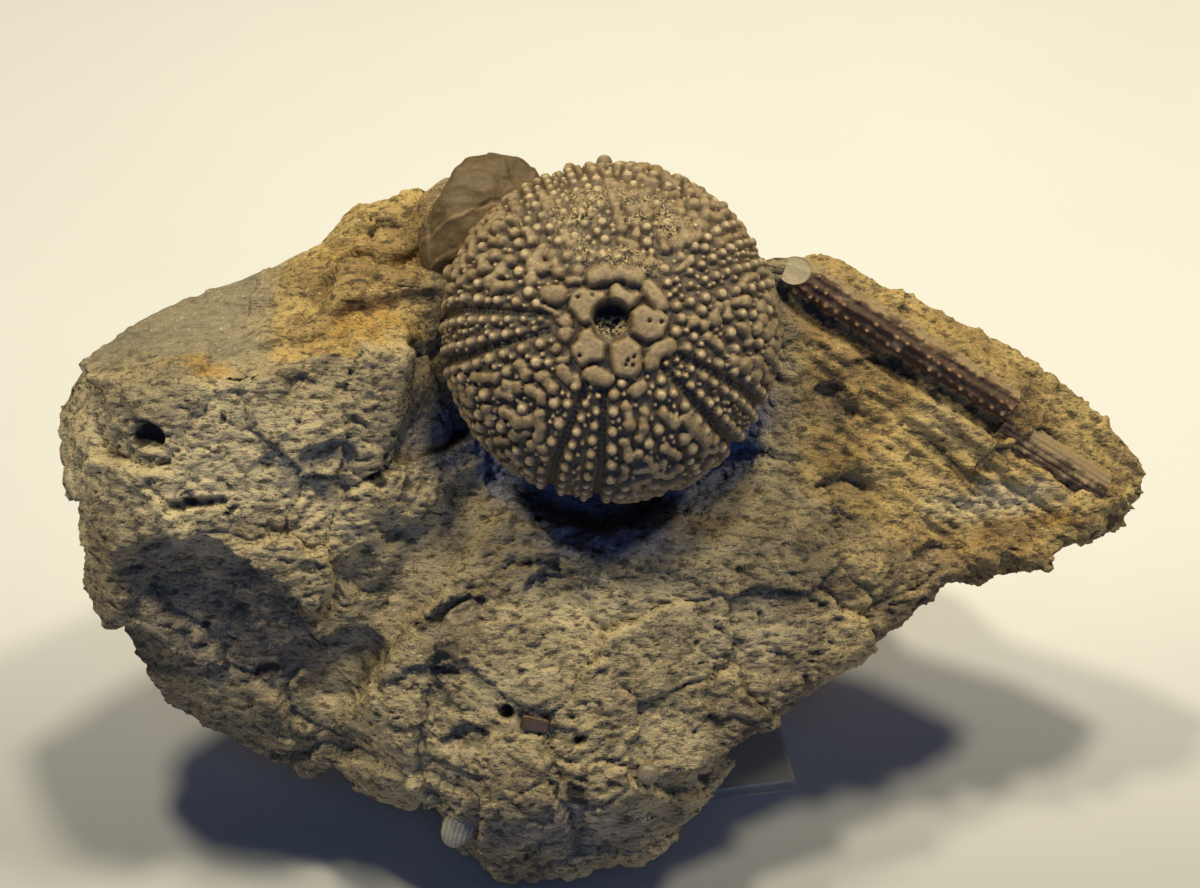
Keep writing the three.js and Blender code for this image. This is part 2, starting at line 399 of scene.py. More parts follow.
class Graph:
    """The nodes of one material, which end in one Principled shader."""

    def __init__(self, name: str) -> None:
        """Start a material.

        Args:
            name: The material's name.
        """
        self.material = bpy.data.materials.new(name)
        self.material.use_nodes = True
        self.tree = self.material.node_tree
        self.shader = next(n for n in self.tree.nodes if n.type == "BSDF_PRINCIPLED")
        where = self.node("ShaderNodeTexCoord")
        self.place = Signal(self, where.outputs["Object"])

    def feed(self, socket: bpy.types.NodeSocket, value: Any) -> None:
        """Link a signal to an input, or set the input to a number or a colour.

        Args:
            socket: The input.
            value: A signal, a number or a colour.
        """
        if isinstance(value, Signal):
            self.tree.links.new(value.socket, socket)
        elif isinstance(value, tuple) and len(value) == 3 and socket.type == "RGBA":
            socket.default_value = (*value, 1.0)
        else:
            socket.default_value = value

    def node(
        self,
        kind: str,
        settings: dict[str, Any] | None = None,
        inputs: dict[int | str, Any] | None = None,
    ) -> bpy.types.Node:
        """Add a node.

        Args:
            kind: The node's type.
            settings: Its own settings.
            inputs: The signals or values of its inputs, by name or number.

        Returns:
            The node.
        """
        node = self.tree.nodes.new(kind)
        for name, value in (settings or {}).items():
            setattr(node, name, value)
        for name, value in (inputs or {}).items():
            self.feed(node.inputs[name], value)
        return node

    def _noise_at(self, place: Signal, size: float, detail: float, rough: float) -> Signal:
        """Give soft noise read at some place of the material."""
        scale = 1 / (size * MM)
        inputs = {"Vector": place, "Scale": scale, "Detail": detail, "Roughness": rough}
        return Signal(self, self.node("ShaderNodeTexNoise", {}, inputs).outputs[0])

    def noise(self, size: float, detail: float = 4.0, rough: float = 0.6) -> Signal:
        """Give soft noise from 0 to 1, whose swells are a size in millimetres apart."""
        return self._noise_at(self.place, size, detail, rough)

    def stretched(self, size: float, turn: Sequence[float], squeeze: Sequence[float]) -> Signal:
        """Give noise turned by some radians and then squeezed along each axis, as bedding is."""
        mapped = self.node(
            "ShaderNodeMapping",
            {"vector_type": "POINT"},
            {"Vector": self.place, "Rotation": tuple(turn), "Scale": tuple(squeeze)},
        )
        return self._noise_at(Signal(self, mapped.outputs[0]), size, detail=4.0, rough=0.65)

    def painted(self, *names: str) -> list[Signal]:
        """Read the numbers of some names that are stored on the mesh."""
        nodes = [self.node("ShaderNodeAttribute", {"attribute_name": name}) for name in names]
        return [Signal(self, node.outputs["Fac"]) for node in nodes]

    def along(self, axis: str) -> Signal:
        """Give the place along one axis of the object, in metres."""
        node = self.node("ShaderNodeSeparateXYZ", {}, {0: self.place})
        return Signal(self, node.outputs[axis])

    def relief(self, layers: Iterable[tuple[Signal, float, float]]) -> None:
        """Feed the shader's normal from heights.

        Args:
            layers: Each height from 0 to 1, its depth in millimetres and its strength.
        """
        previous: Signal | None = None
        for height, depth, strength in layers:
            inputs: dict[int | str, Any] = {"Height": height, "Distance": depth * MM}
            inputs["Strength"] = strength
            if previous is not None:
                inputs["Normal"] = previous
            previous = Signal(self, self.node("ShaderNodeBump", {}, inputs).outputs[0])
        if previous is not None:
            self.feed(self.shader.inputs["Normal"], previous)

    def set(self, **values: Any) -> None:
        """Feed the shader's inputs, whose names are given with _ for each space."""
        for name, value in values.items():
            self.feed(self.shader.inputs[name.replace("_", " ")], value)


@dataclass(frozen=True)
class Limestone:
    """Rough marly limestone: sandy grey-brown, rusty in patches, with painted shade in pits."""

    name: str = "limestone"
    sandy: Colour = (0.450, 0.348, 0.190)
    brown: Colour = (0.215, 0.165, 0.098)
    warm: Colour = (0.53, 0.368, 0.138)
    warm_brown: Colour = (0.28, 0.178, 0.068)
    slate: Colour = (0.205, 0.178, 0.130)
    # Near black, for the painted shade in pits, marks and the grain's low dashes.
    pit: Colour = (0.045, 0.036, 0.027)
    rust: Colour = (0.42, 0.245, 0.062)
    crumb: Colour = (0.82, 0.66, 0.38)
    # The bluish dark of the painted shade.
    shade_blue: Colour = (0.080, 0.135, 0.285)
    grain_turn: Triple = (math.radians(-45), 0.0, math.radians(8))

    def material(self) -> bpy.types.Material:
        """Make the material.

        Returns:
            The material.
        """
        graph = Graph(self.name)
        broad = graph.noise(11.0, 3.0, 0.55)
        patch = graph.noise(3.0, 6.0, 0.65)
        grain = graph.stretched(0.60, self.grain_turn, (0.42, 1.0, 1.0))
        fine = graph.stretched(0.28, self.grain_turn, (0.5, 1.0, 1.0))
        speck = graph.noise(0.20, 2.0, 0.7)
        hollow, rusty, warmth = graph.painted("hollow", "rust", "warm")
        smooth, paler_and_lit, painted_shade = graph.painted("smooth", "pale", "shade")
        tone = (broad * 0.55 + patch * 0.45).grade(0.41, 0.60)
        cool = tone.blend(self.brown, self.sandy)
        tawny = tone.blend(self.warm_brown, self.warm)
        body = (warmth + (patch - 0.5) * 0.6).grade(0.2, 0.9).blend(cool, tawny)
        body = (smooth * 0.7).blend(body, self.slate)
        stained = (rusty * 1.1 + (patch - 0.5) * 2.6 + (grain - 0.5) * 1.2 - 0.3).grade(0.1, 0.9)
        body = (stained * rusty.grade(0.0, 0.3) * 0.9).blend(body, self.rust)
        # Paler patches, partly painted light, turn towards the crumb colour.
        body = (paler_and_lit * (0.35 + patch * 0.40)).blend(body, self.crumb)
        # Painted shade: the moat, the scoops and the downward faces turn towards a bluish dark.
        body = (painted_shade * (0.55 + patch * 0.5)).least(0.9).blend(body, self.shade_blue)
        crumbs = speck.grade(0.54, 0.70) * grain.grade(0.42, 0.62)
        body = (crumbs * 0.65).blend(body, self.crumb)
        # Painted shade: the low dashes of the grain, partly dark grains of the stone, and the pits and
        # marks are darkened.
        dark = (0.46 - grain).grade(-0.01, 0.10).most((0.45 - fine).grade(0.0, 0.08) * 0.9)
        body = (dark * (0.80 - smooth * 0.50)).blend(body, self.pit)
        body = hollow.grade(0.10, 0.95).blend(body, self.pit)
        graph.set(Base_Color=body, Roughness=0.9, Specular_IOR_Level=0.25)
        graph.relief([(patch, 0.5, 0.25), (grain, 0.36, 0.75), (fine, 0.18, 0.9), (speck, 0.07, 0.7)])
        return graph.material


@dataclass(frozen=True)
class Calcite:
    """The test's stone: taupe plates with cream-tipped beads and painted shade between them."""

    name: str = "test_calcite"
    plate: Colour = (0.265, 0.180, 0.090)
    cream: Colour = (0.60, 0.450, 0.250)
    # The dark ground between the ornament: painted shade in its crevices.
    ground: Colour = (0.090, 0.063, 0.037)
    # Near black, for painted shade in the pores, the pore bands, the hole and the sand's pits.
    pore: Colour = (0.012, 0.011, 0.010)
    sand: Colour = (0.58, 0.435, 0.215)

    def material(self) -> bpy.types.Material:
        """Make the material.

        Returns:
            The material.
        """
        graph = Graph(self.name)
        tip, pale, pore, caked, zone = graph.painted("tip", "pale", "pore", "caked", "zone")
        patch = graph.noise(2.4, 4.0, 0.6)
        fine = graph.noise(0.34, 4.0, 0.65)
        speck = graph.noise(0.16, 2.0, 0.6)
        # Painted shade: where the ornament is low, the plate colour gives way to the dark ground.
        body = tip.grade(0.0, 0.7).blend(self.ground, self.plate)
        lit = (tip.grade(0.5, 1.0) * pale + (patch - 0.5) * 0.6).grade(0.1, 0.9)
        body = lit.blend(body, self.cream)
        body = ((0.52 - fine).grade(-0.08, 0.12) * 0.4).blend(body, self.ground)
        sandy = caked * (speck * 0.6 + fine * 0.4).grade(0.42, 0.60)
        body = sandy.blend(body, self.sand)
        # Painted shade: the pits in the caked sand, the pore bands and the pores are darkened.
        pits = caked * (0.49 - speck).grade(-0.01, 0.08)
        body = (zone * 0.55).blend(body, self.pore)
        body = pore.most(pits).blend(body, self.pore)
        graph.set(Base_Color=body, Roughness=0.48 + caked * 0.4, Specular_IOR_Level=0.4)
        graph.relief([(fine, 0.10, 0.5), (speck, 0.05, 0.5)])
        return graph.material


@dataclass(frozen=True)
class SpineStone:
    """The spine: dark red-brown calcite with orange granules, tan from wear and painted light."""

    name: str = "spine_calcite"
    dark: Colour = (0.075, 0.040, 0.022)
    red: Colour = (0.235, 0.120, 0.058)
    orange: Colour = (0.50, 0.28, 0.11)
    tan: Colour = (0.35, 0.245, 0.120)
    core: Colour = (0.42, 0.37, 0.26)

    def material(self) -> bpy.types.Material:
        """Make the material.

        Returns:
            The material.
        """
        graph = Graph(self.name)
        tip, cut, worn = graph.painted("tip", "cut", "worn")
        patch = graph.noise(1.8, 4.0, 0.6)
        fine = graph.noise(0.22, 3.0, 0.6)
        body = (tip * 0.8 + (patch - 0.5) * 1.6).grade(0.0, 0.7).blend(self.dark, self.red)
        body = (tip.grade(0.45, 0.9) * patch.grade(0.30, 0.55)).blend(body, self.orange)
        # Painted light and wear: the upper side, which the lamps catch, and the rubbed lower length
        # turn tan.
        tan_wear_and_top_light = (worn + (patch - 0.5) * 1.3 + (fine - 0.5) * 0.9).grade(0.15, 0.85)
        body = (tan_wear_and_top_light * 0.85).blend(body, self.tan)
        body = cut.blend(body, (fine * 0.5 + 0.5).blend(self.red, self.core))
        graph.set(Base_Color=body, Roughness=0.6, Specular_IOR_Level=0.35)
        graph.relief([(fine, 0.10, 0.7)])
        return graph.material


@dataclass(frozen=True)
class ShellStone:
    """Fossil shell: smooth, with fine growth lines stored on its mesh."""

    name: str
    base: Colour
    streak: Colour
    rough: float = 0.5

    def material(self) -> bpy.types.Material:
        """Make the material.

        Returns:
            The material.
        """
        graph = Graph(self.name)
        (line,) = graph.painted("line")
        patch = graph.noise(2.0, 4.0, 0.6)
        fine = graph.noise(0.3, 3.0, 0.6)
        share = (line * 0.6 + patch * 0.7).grade(0.35, 0.85)
        body = share.blend(self.base, self.streak)
        body = (fine.grade(0.6, 0.4) * 0.3).blend(body, tuple(c * 0.4 for c in self.base))
        graph.set(Base_Color=body, Roughness=self.rough, Specular_IOR_Level=0.45)
        graph.relief([(line, 0.05, 0.5), (fine, 0.06, 0.5)])
        return graph.material


@dataclass(frozen=True)
class ClearAcrylic:
    """The stand's clear acrylic sheet."""

    name: str = "clear_acrylic"
    tint: Colour = (0.84, 0.80, 0.72)
    ior: float = 1.49
    haze: float = 0.15
    solidity: float = 0.5
    clearness: float = 0.7

    def material(self) -> bpy.types.Material:
        """Make the material.

        Returns:
            The material.
        """
        graph = Graph(self.name)
        smear = graph.noise(3.0, 4.0, 0.6)
        rough = smear * self.haze + 0.03
        graph.set(
            Base_Color=self.tint, Roughness=rough, IOR=self.ior,
            Transmission_Weight=self.clearness, Alpha=self.solidity,
        )
        return graph.material


# ---- The block of limestone ----


@dataclass(frozen=True)
class Mark:
    """One thing carved in or raised from the face, along a path of millimetres on it."""

    path: tuple[Pair, ...]
    width: float
    height: float
    # How much painted shade darkens the mark.
    dark: float = 0.0

    def at(self, points: Array) -> Array:
        """Give the mark's strength, from 0 to 1, at places on the face."""
        away = beside_path(points[:, :2], [np.array(corner) for corner in self.path])
        return ease(away, self.width, self.width * 0.25)


# Burrows, cracks and the grooves beside the spine, and the ridge and knobs that stand up.
# The last number of each mark is how much painted shade darkens it.
MARKS: tuple[Mark, ...] = (
    Mark(((-35.2, 0.9), (-34.6, 0.5)), 1.2, -1.8, 0.9),
    Mark(((-7.5, -21.5),), 0.9, -1.8, 0.9),
    Mark(((-1.6, -23.6),), 0.8, -0.8, 0.5),
    Mark(((-33.2, -4.9), (-29.4, -4.6)), 0.6, -0.8, 0.6),
    Mark(((-10.0, -4.7), (-14.1, -9.6), (-19.0, -16.2), (-22.4, -20.4)), 3.0, -1.6, 0.10),
    Mark(((15.2, 12.4), (23.0, 7.3), (33.0, 1.2)), 1.4, -1.5, 0.45),
    Mark(((14.9, 15.4),), 2.0, -1.8),
    Mark(((-6.0, -22.3), (-4.4, -22.5)), 1.5, -0.5, 0.3),
    Mark(((17.6, 15.0), (26.0, 9.9), (34.6, 4.8)), 1.3, 0.7),
    Mark(((26.4, 4.8), (31.8, 0.4)), 1.7, 0.5),
    Mark(((33.5, -1.6), (41.5, -5.6)), 1.6, 0.5),
    Mark(((20.3, 3.9),), 1.3, 0.9),
    Mark(((30.7, 11.0),), 0.9, 0.8),
    Mark(((39.8, 4.6),), 0.9, 0.8),
    Mark(((43.0, 2.5),), 0.8, 0.6),
)


@dataclass(frozen=True)
class Scoop:
    """A hollow flaked out of the face, deepest under a sharp upper rim, in millimetres."""

    across: float
    up: float
    half_across: float
    half_up: float
    depth: float
    turn: float = 0.0

    def at(self, points: Array) -> tuple[Array, Array]:
        """Give how far the hollow is cut in, and its share from 0 to 1, at places on the face.

        Args:
            points: The places, one row each.

        Returns:
            The depth in millimetres, and the share.
        """
        angle = math.radians(self.turn)
        away = points[:, :2] - np.array([self.across, self.up])
        along = (away[:, 0] * math.cos(angle) + away[:, 1] * math.sin(angle)) / self.half_across
        rise = (-away[:, 0] * math.sin(angle) + away[:, 1] * math.cos(angle)) / self.half_up
        share = ease(np.hypot(along, rise), 1.0, 0.86)
        return self.depth * share * ease(rise, -1.1, 0.9), share


SCOOPS: tuple[Scoop, ...] = (
    Scoop(-31.0, -13.6, 9.0, 6.0, 2.4, -36),
    Scoop(-21.5, -1.2, 2.4, 1.6, 1.5, 15),
    Scoop(-15.6, -8.2, 1.7, 1.1, 1.3, 10),
    Scoop(-22.0, -17.6, 4.6, 1.7, 1.4, 20),
    Scoop(-11.8, -13.9, 2.9, 1.3, 1.4, 22),
    Scoop(-12.8, -18.4, 2.4, 0.8, 0.8, -8),
    Scoop(-10.9, -23.9, 2.4, 1.0, 1.0, 18),
    Scoop(-11.7, -26.8, 2.6, 0.9, 1.0),
    Scoop(-4.4, -11.4, 2.0, 0.8, 0.6, 25),
    Scoop(18.9, 3.4, 2.3, 1.6, 1.2, -20),
    Scoop(19.9, -3.6, 2.6, 1.2, 1.3, 12),
    Scoop(28.4, -9.3, 2.5, 1.1, 1.1, -10),
)


@dataclass(frozen=True)
class Stain:
    """A patch of colour on the face: its middle, its half width and height, and its strength."""

    across: float
    up: float
    half_across: float
    half_up: float
    strength: float = 1.0

    def at(self, points: Array) -> Array:
        """Give the stain's strength at places on the face."""
        away = oval(points, self.across, self.up, self.half_across, self.half_up)
        return ease(away, 1.2, 0.2) * self.strength


def strongest(stains: Sequence[Stain], points: Array) -> Array:
    """Give the strength of the strongest of some stains at places on the face."""
    return np.max([stain.at(points) for stain in stains], axis=0)


# Where iron has stained the stone.
RUSTED: tuple[Stain, ...] = (
    Stain(-18.5, 9.5, 4.0, 2.6),
    Stain(-31.5, 6.3, 4.5, 1.0),
    Stain(-13.0, 5.0, 3.0, 5.0, 0.5),
    Stain(30.0, -3.5, 9.0, 3.0, 0.75),
    Stain(38.0, -6.4, 5.5, 1.2),
    Stain(22.0, 3.0, 4.0, 3.0, 0.6),
    Stain(43.0, -2.0, 3.0, 3.0, 0.5),
    Stain(12.0, 1.5, 3.0, 1.5, 0.6),
)


# Where the stone is paler: partly its own colour, partly painted light on well-lit faces.
PALER_AND_LIT_PATCHES: tuple[Stain, ...] = (
    Stain(-28.5, -1.5, 12.0, 8.0, 1.0),
    Stain(-21.0, -5.5, 5.0, 2.5, 0.6),
    Stain(1.5, -12.6, 9.0, 3.0, 0.7),
    Stain(32.5, -4.6, 6.5, 2.2, 1.3),
    Stain(29.0, 2.4, 3.5, 2.4, 0.4),
    Stain(-7.0, -19.5, 5.0, 2.5, 0.4),
    Stain(12.0, -15.5, 6.0, 3.0, 0.4),
    Stain(-41.5, -1.0, 5.0, 9.0, 1.0),
)

# Painted shade: patches darkened towards a bluish tone where the stone faces down, beside the test and
# under it.
PAINTED_SHADE_PATCHES: tuple[Stain, ...] = (
    Stain(-3.0, -31.4, 10.0, 3.2, 0.28),
    Stain(-31.0, -14.0, 8.5, 6.0, 0.16),
    Stain(-13.5, -0.5, 2.6, 3.5, 0.4),
    Stain(0.5, -7.2, 7.6, 2.2, 0.8),
)

# How high the banked stone stands at places around the test: across, up and out of the face.
SILLS: tuple[Triple, ...] = (
    (-16.5, 7.4, -0.8), (-14.0, 8.0, -5.0), (-16.5, 3.5, -0.8), (-13.3, 2.0, -5.6),
    (-10.6, -2.2, -6.0), (-15.7, -4.4, -2.6), (-11.8, -6.4, -3.4), (-7.9, -8.0, -3.4),
    (-4.7, -9.4, -2.8), (-15.7, -10.7, -3.4), (-11.8, -12.2, -3.0), (-18.1, -13.8, -4.8),
    (-21.0, -19.3, -7.0), (11.0, -6.4, -4.4), (14.1, -3.2, -5.8), (15.2, 2.0, -6.8),
    (15.4, 8.0, -6.4), (14.0, 13.0, -5.8), (19.5, -4.4, -6.4), (23.5, -7.8, -7.8),
    (19.0, 0.0, -7.3), (23.0, -3.0, -7.9),
)

# The corners of the banks of stone, low and high, each across and up the face.
BANKS: tuple[tuple[Pair, Pair], ...] = (
    ((-21.0, -19.0), (15.0, 13.9)),
    ((14.0, -10.0), (25.5, 1.5)),
)

# The middles of the test and the lamp shell on the face, and the half sizes kept clear of stone.
TEST_CENTRE = np.array((0.8, 8.7, 0.0))
TEST_ROOM = np.array((13.6, 13.6, 9.5))
SHELL_CENTRE = np.array((-10.2, 17.6, -5.6))
SHELL_ROOM = np.array((6.2, 5.8, 4.2))


@dataclass
class Ground:
    """What the carving knows of each vertex of the block, one row or number for each.

    These are its place on the face and the way it faces, a soft step aside that keeps edges from
    running straight, how finely the skin is split there, how rough the stone is, and its share in
    the wing on the right and in the stone behind the upper edge.
    """

    spots: Array
    facing: Array
    warp: Array
    fine: Array
    rugged: Array
    wing: Array
    behind: Array

    @property
    def front(self) -> Array:
        """Give how far the stone faces forward."""
        return ease(self.facing[:, 2], -0.2, 0.2)

    @property
    def crag(self) -> Array:
        """Give the share in the crag on the way to the lamp shell."""
        return self.behind * ease(self.spots[:, 0], -31, -25)

    @property
    def hackle(self) -> Array:
        """Give the share in the rough left and lower parts of the face."""
        return 1 - np.clip(self.wing + self.behind, 0, 1)


@dataclass
class Block:
    """The block of limestone matrix that holds every fossil, with sizes in millimetres.

    A filler is a small fossil's node and how deep its pocket's filling lies. The moat is an oval
    on the face, its middle and half sizes, and the height of its floor.
    """

    face: Face
    finish: Limestone = field(default_factory=Limestone)
    seed: int = 11
    voxel: float = 0.80
    splits: int = 2
    fillers: tuple[tuple[str, float], ...] = (
        ("spine", 1.5), ("spine_end", 1.1), ("lamp_shell", 2.0), ("oyster", 0.8), ("ossicle", 0.7),
        ("scute", 0.6),
    )
    swell: float = 0.35
    clear_of_stand: float = 0.1
    bank_depth: float = -13.0
    bank_cuts: int = 70
    moat: tuple[float, float, float, float] = (0.8, 7.7, 13.3, 14.3)
    moat_floor: float = -8.2
    undulation: float = 13.0
    facet: float = 10.0
    flake: float = 3.9
    terrace: float = 3.4
    terrace_height: float = 1.1
    flag: float = 2.0
    scale: float = 0.62
    pit_depth: float = 0.40
    bed_turn: float = math.radians(-34)
    bed_stretch: float = 7.0
    tallest: float = 1.1

    def build(self) -> bpy.types.Object:
        """Make and dress the block.

        Returns:
            The finished piece.
        """
        piece = self._rough_form()
        self._refine_face(piece)
        self._sculpt(piece.data)
        finish_piece(piece, self.finish.material(), ["matrix_block"])
        return piece

    def _rough_form(self) -> bpy.types.Object:
        """Make one even skin over the block, with the small fossils' pockets filled.

        Returns:
            The block, not yet carved.
        """
        form = bmesh.new()
        form.from_mesh(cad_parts["matrix_block"].data)
        out = Vector(self.face.axes[2])
        for name, sink in self.fillers:
            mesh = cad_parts[name].data.copy()
            points = points_of(mesh)
            middle = (points.min(axis=0) + points.max(axis=0)) / 2
            half = (points.max(axis=0) - points.min(axis=0)).max() / 2
            grow = Matrix.Scale(1 + self.swell * MM / half, 4)
            shift = Vector(middle) - out * sink * MM
            mesh.transform(Matrix.Translation(shift) @ grow @ Matrix.Translation(-Vector(middle)))
            form.from_mesh(mesh)
            bpy.data.meshes.remove(mesh)
        for low, high in BANKS:
            bank = self._bank(np.array(low), np.array(high))
            form.from_mesh(bank)
            bpy.data.meshes.remove(bank)
        bmesh.ops.remove_doubles(form, verts=form.verts, dist=WELD)
        piece = mesh_from(form, "limestone_block")
        skin_over(piece, self.voxel)
        return piece

    def _bank(self, low: Array, high: Array) -> bpy.types.Mesh:
        """Make stone that is banked up around the test, with a moat next to it.

        Args:
            low: Its lower left corner on the face.
            high: Its upper right corner.

        Returns:
            The bank's mesh, in the object's frame.
        """
        form = bmesh.new()
        bmesh.ops.create_grid(form, x_segments=self.bank_cuts, y_segments=self.bank_cuts, size=1.0)
        raised = bmesh.ops.extrude_face_region(form, geom=form.faces[:], use_keep_orig=True)["geom"]
        for item in raised:
            if isinstance(item, bmesh.types.BMVert):
                item.co.z = 1.0
        bmesh.ops.recalc_face_normals(form, faces=form.faces[:])
        mesh = bpy.data.meshes.new("bank")
        form.to_mesh(mesh)
        form.free()
        unit = points_of(mesh)
        flat = low + (unit[:, :2] + 1) / 2 * (high - low)
        level = np.where(unit[:, 2] > 0.5, self._level(flat), self.bank_depth)
        move_points(mesh, self.face.to_world(np.column_stack([flat, level])))
        return mesh

    def _level(self, flat: Array) -> Array:
        """Give how high the banked stone stands at places across the face.

        Args:
            flat: The places, across and up.

        Returns:
            One height for each place.
        """
        total = np.zeros(len(flat))
        share = np.zeros(len(flat))
        for across, up, level in SILLS:
            away = (flat[:, 0] - across) ** 2 + (flat[:, 1] - up) ** 2
            weight = (away + 0.6) ** -1.5
            total += weight * level
            share += weight
        inside = ease(oval(flat, *self.moat), 1.07, 0.99)
        return total / share * (1 - inside) + self.moat_floor * inside

    def _refine_face(self, piece: bpy.types.Object) -> None:
        """Split the faces that show from the front, where the grain has to be finest.

        Args:
            piece: The block, whose mesh is changed.
        """
        form = bmesh.new()
        form.from_mesh(piece.data)
        soften(form, 2)
        form.normal_update()
        shown = self._shown(form)
        edges = list({edge for face in shown for edge in face.edges})
        bmesh.ops.subdivide_edges(form, edges=edges, cuts=self.splits, use_grid_fill=True)
        odd = [face for face in form.faces if len(face.verts) > 4]
        bmesh.ops.triangulate(form, faces=odd)
        form.to_mesh(piece.data)
        form.free()
        piece.data.shade_smooth()

    def _shown(self, form: bmesh.types.BMesh) -> list[bmesh.types.BMFace]:
        """Give the faces that nothing covers when the fossils are looked at squarely.

        Args:
            form: The block's skin.

        Returns:
            The uncovered faces.
        """
        tree = BVHTree.FromBMesh(form)
        out = Vector(self.face.axes[2])
        under_test = np.array((11.5, 11.5, 20.0))
        middles = np.array([face.calc_center_median() for face in form.faces])
        away = (self.face.from_world(middles) - TEST_CENTRE) / under_test
        covered = np.linalg.norm(away, axis=1) < 1.0
        found = []
        for face, under in zip(form.faces, covered):
            if under or face.normal @ out < 0.02:
                continue
            start = face.calc_center_median() + face.normal * 2e-4
            if tree.ray_cast(start, out)[0] is None:
                found.append(face)
        return found

    def _fineness(self, mesh: bpy.types.Mesh) -> Array:
        """Give how finely the skin is split at each vertex, from 0 to 1.

        Args:
            mesh: The block's mesh.

        Returns:
            One number for each vertex.
        """
        points = points_of(mesh)
        ends = np.empty(len(mesh.edges) * 2, dtype=int)
        mesh.edges.foreach_get("vertices", ends)
        first, second = ends[0::2], ends[1::2]
        span = np.linalg.norm(points[first] - points[second], axis=1) / MM / self.voxel
        longest = np.zeros(len(points))
        np.maximum.at(longest, first, span)
        np.maximum.at(longest, second, span)
        return ease(longest, 0.85, 0.55)

    def _sculpt(self, mesh: bpy.types.Mesh) -> None:
        """Break up the surface as stone breaks, carve the marks in it and store its colours.

        Args:
            mesh: The block's mesh, which is changed.
        """
        noise = Noise(self.seed)
        ground = self._survey(mesh, noise)
        height, own = self._broken(ground, noise)
        grain, drawn = self._grained(ground, noise, own)
        height += grain * (1 - 0.5 * ground.behind - 0.4 * ground.wing)
        pits = self._pits(noise, drawn, ground.spots) * (0.35 + 0.65 * ground.hackle)
        height -= self.pit_depth * pits
        height += self._bedded(ground, noise)
        marked = np.zeros(len(height))
        for mark in MARKS:
            share = mark.at(ground.spots) * ground.front
            height += mark.height * share
            marked = np.maximum(marked, mark.dark * share)
        # Painted shade goes in the moat beside the test and, faintly, in the scoops.
        shade = 0.9 * self._moated(ground.spots)
        for scoop in SCOOPS:
            sunk, share = scoop.at(ground.spots + 0.8 * ground.warp)
            height -= sunk * ground.front
            shade = np.maximum(shade, 0.12 * share * ground.front)
        height = self._restrained(mesh, ground, height)
        world = self.face.to_world(ground.spots + ground.facing * height[:, None])
        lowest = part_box("stand")[1][2] + self.clear_of_stand * MM
        world[:, 2] = np.maximum(world[:, 2], lowest)
        move_points(mesh, world)
        # Painted shade: the pits, the grain's low parts and the dark of the marks are stored as hollow.
        low = ease(grain, -0.05, -0.20)
        hollow = np.maximum(0.85 * pits, 0.55 * low) + marked
        self._colour(mesh, ground, np.clip(hollow, 0, 1), shade)

    def _survey(self, mesh: bpy.types.Mesh, noise: Noise) -> Ground:
        """Measure where each vertex lies and which part of the block it belongs to.

        Args:
            mesh: The block's mesh.
            noise: The block's noise.

        Returns:
            What is known of each vertex.
        """
        spots = self.face.from_world(points_of(mesh))
        across, up = spots[:, 0], spots[:, 1]
        return Ground(
            spots=spots,
            facing=normals_of(mesh) @ self.face.axes.T,
            warp=noise.drift(spots, 5.0, 3, (0.0, 31.0, 67.0)),
            fine=self._fineness(mesh),
            rugged=0.35 + 0.65 * ease(noise.fractal(spots + 90.0, 9.0, 2), 0.0, 0.5),
            wing=ease(across, 13.0, 19.0) * ease(up + 0.55 * across, 2.0, 8.0),
            behind=ease(up - 0.06 * (across + 30), 5.2, 8.0) * ease(across, -11.0, -16.0),
        )

    def _broken(self, ground: Ground, noise: Noise) -> tuple[Array, Array]:
        """Break the stone into facets, flakes and the crag's terraces.

        Args:
            ground: What is known of each vertex.
            noise: The block's noise.

        Returns:
            The height at each vertex, and its facet's own number from 0 to 1.
        """
        spots, warp = ground.spots, ground.warp
        crag, hackle = ground.crag, ground.hackle
        bent = spots + warp * 0.8
        facet, seam, own = noise.chips(bent, self.facet)
        flake, _, _ = noise.chips(bent + 50.0, self.flake)
        height = 0.50 * noise.fractal(spots, self.undulation, 2)
        height += facet * (0.11 + 0.03 * hackle + 0.10 * crag)
        height += flake * (0.05 + 0.08 * hackle * ground.rugged + 0.16 * crag)
        step = (spots[:, 1] - 0.35 * spots[:, 0] + 1.1 * warp[:, 0]) / self.terrace
        step -= np.floor(step)
        height += self.terrace_height * crag * (ease(step, 0.0, 0.22) * (1 - step) - 0.35)
        height -= 0.35 * ease(seam, 0.05, 0.0) * hackle
        return height, own

    def _grained(self, ground: Ground, noise: Noise, own: Array) -> tuple[Array, Array]:
        """Lay small scales along the grain of each facet.

        Args:
            ground: What is known of each vertex.
            noise: The block's noise.
            own: The number of each vertex's facet, which turns its grain.

        Returns:
            The height of the scales, and the places drawn together along the grain.
        """
        spots, warp, fine = ground.spots, ground.warp, ground.fine
        turn = (own - 0.5) * 1.3 * (1 - 0.8 * ground.wing) - 0.15 - 0.45 * ground.wing
        along = spots[:, 0] * np.cos(turn) + spots[:, 1] * np.sin(turn)
        across = -spots[:, 0] * np.sin(turn) + spots[:, 1] * np.cos(turn)
        drawn = np.column_stack([along / 1.9, across, spots[:, 2] * 0.8])
        flag, _, _ = noise.chips(drawn + 0.15 * warp, self.flag)
        scale, _, _ = noise.chips(drawn + 0.12 * warp, self.scale)
        rough = noise.fractal(drawn + 13.0, 0.50, 2, 0.7)
        swell = noise.fractal(drawn + 29.0, 2.6, 2)
        grain = ground.rugged * (0.5 + 0.5 * fine) * (0.17 * flag + 0.09 * swell)
        grain += fine * (0.40 * scale + 0.08 * rough)
        return grain, drawn

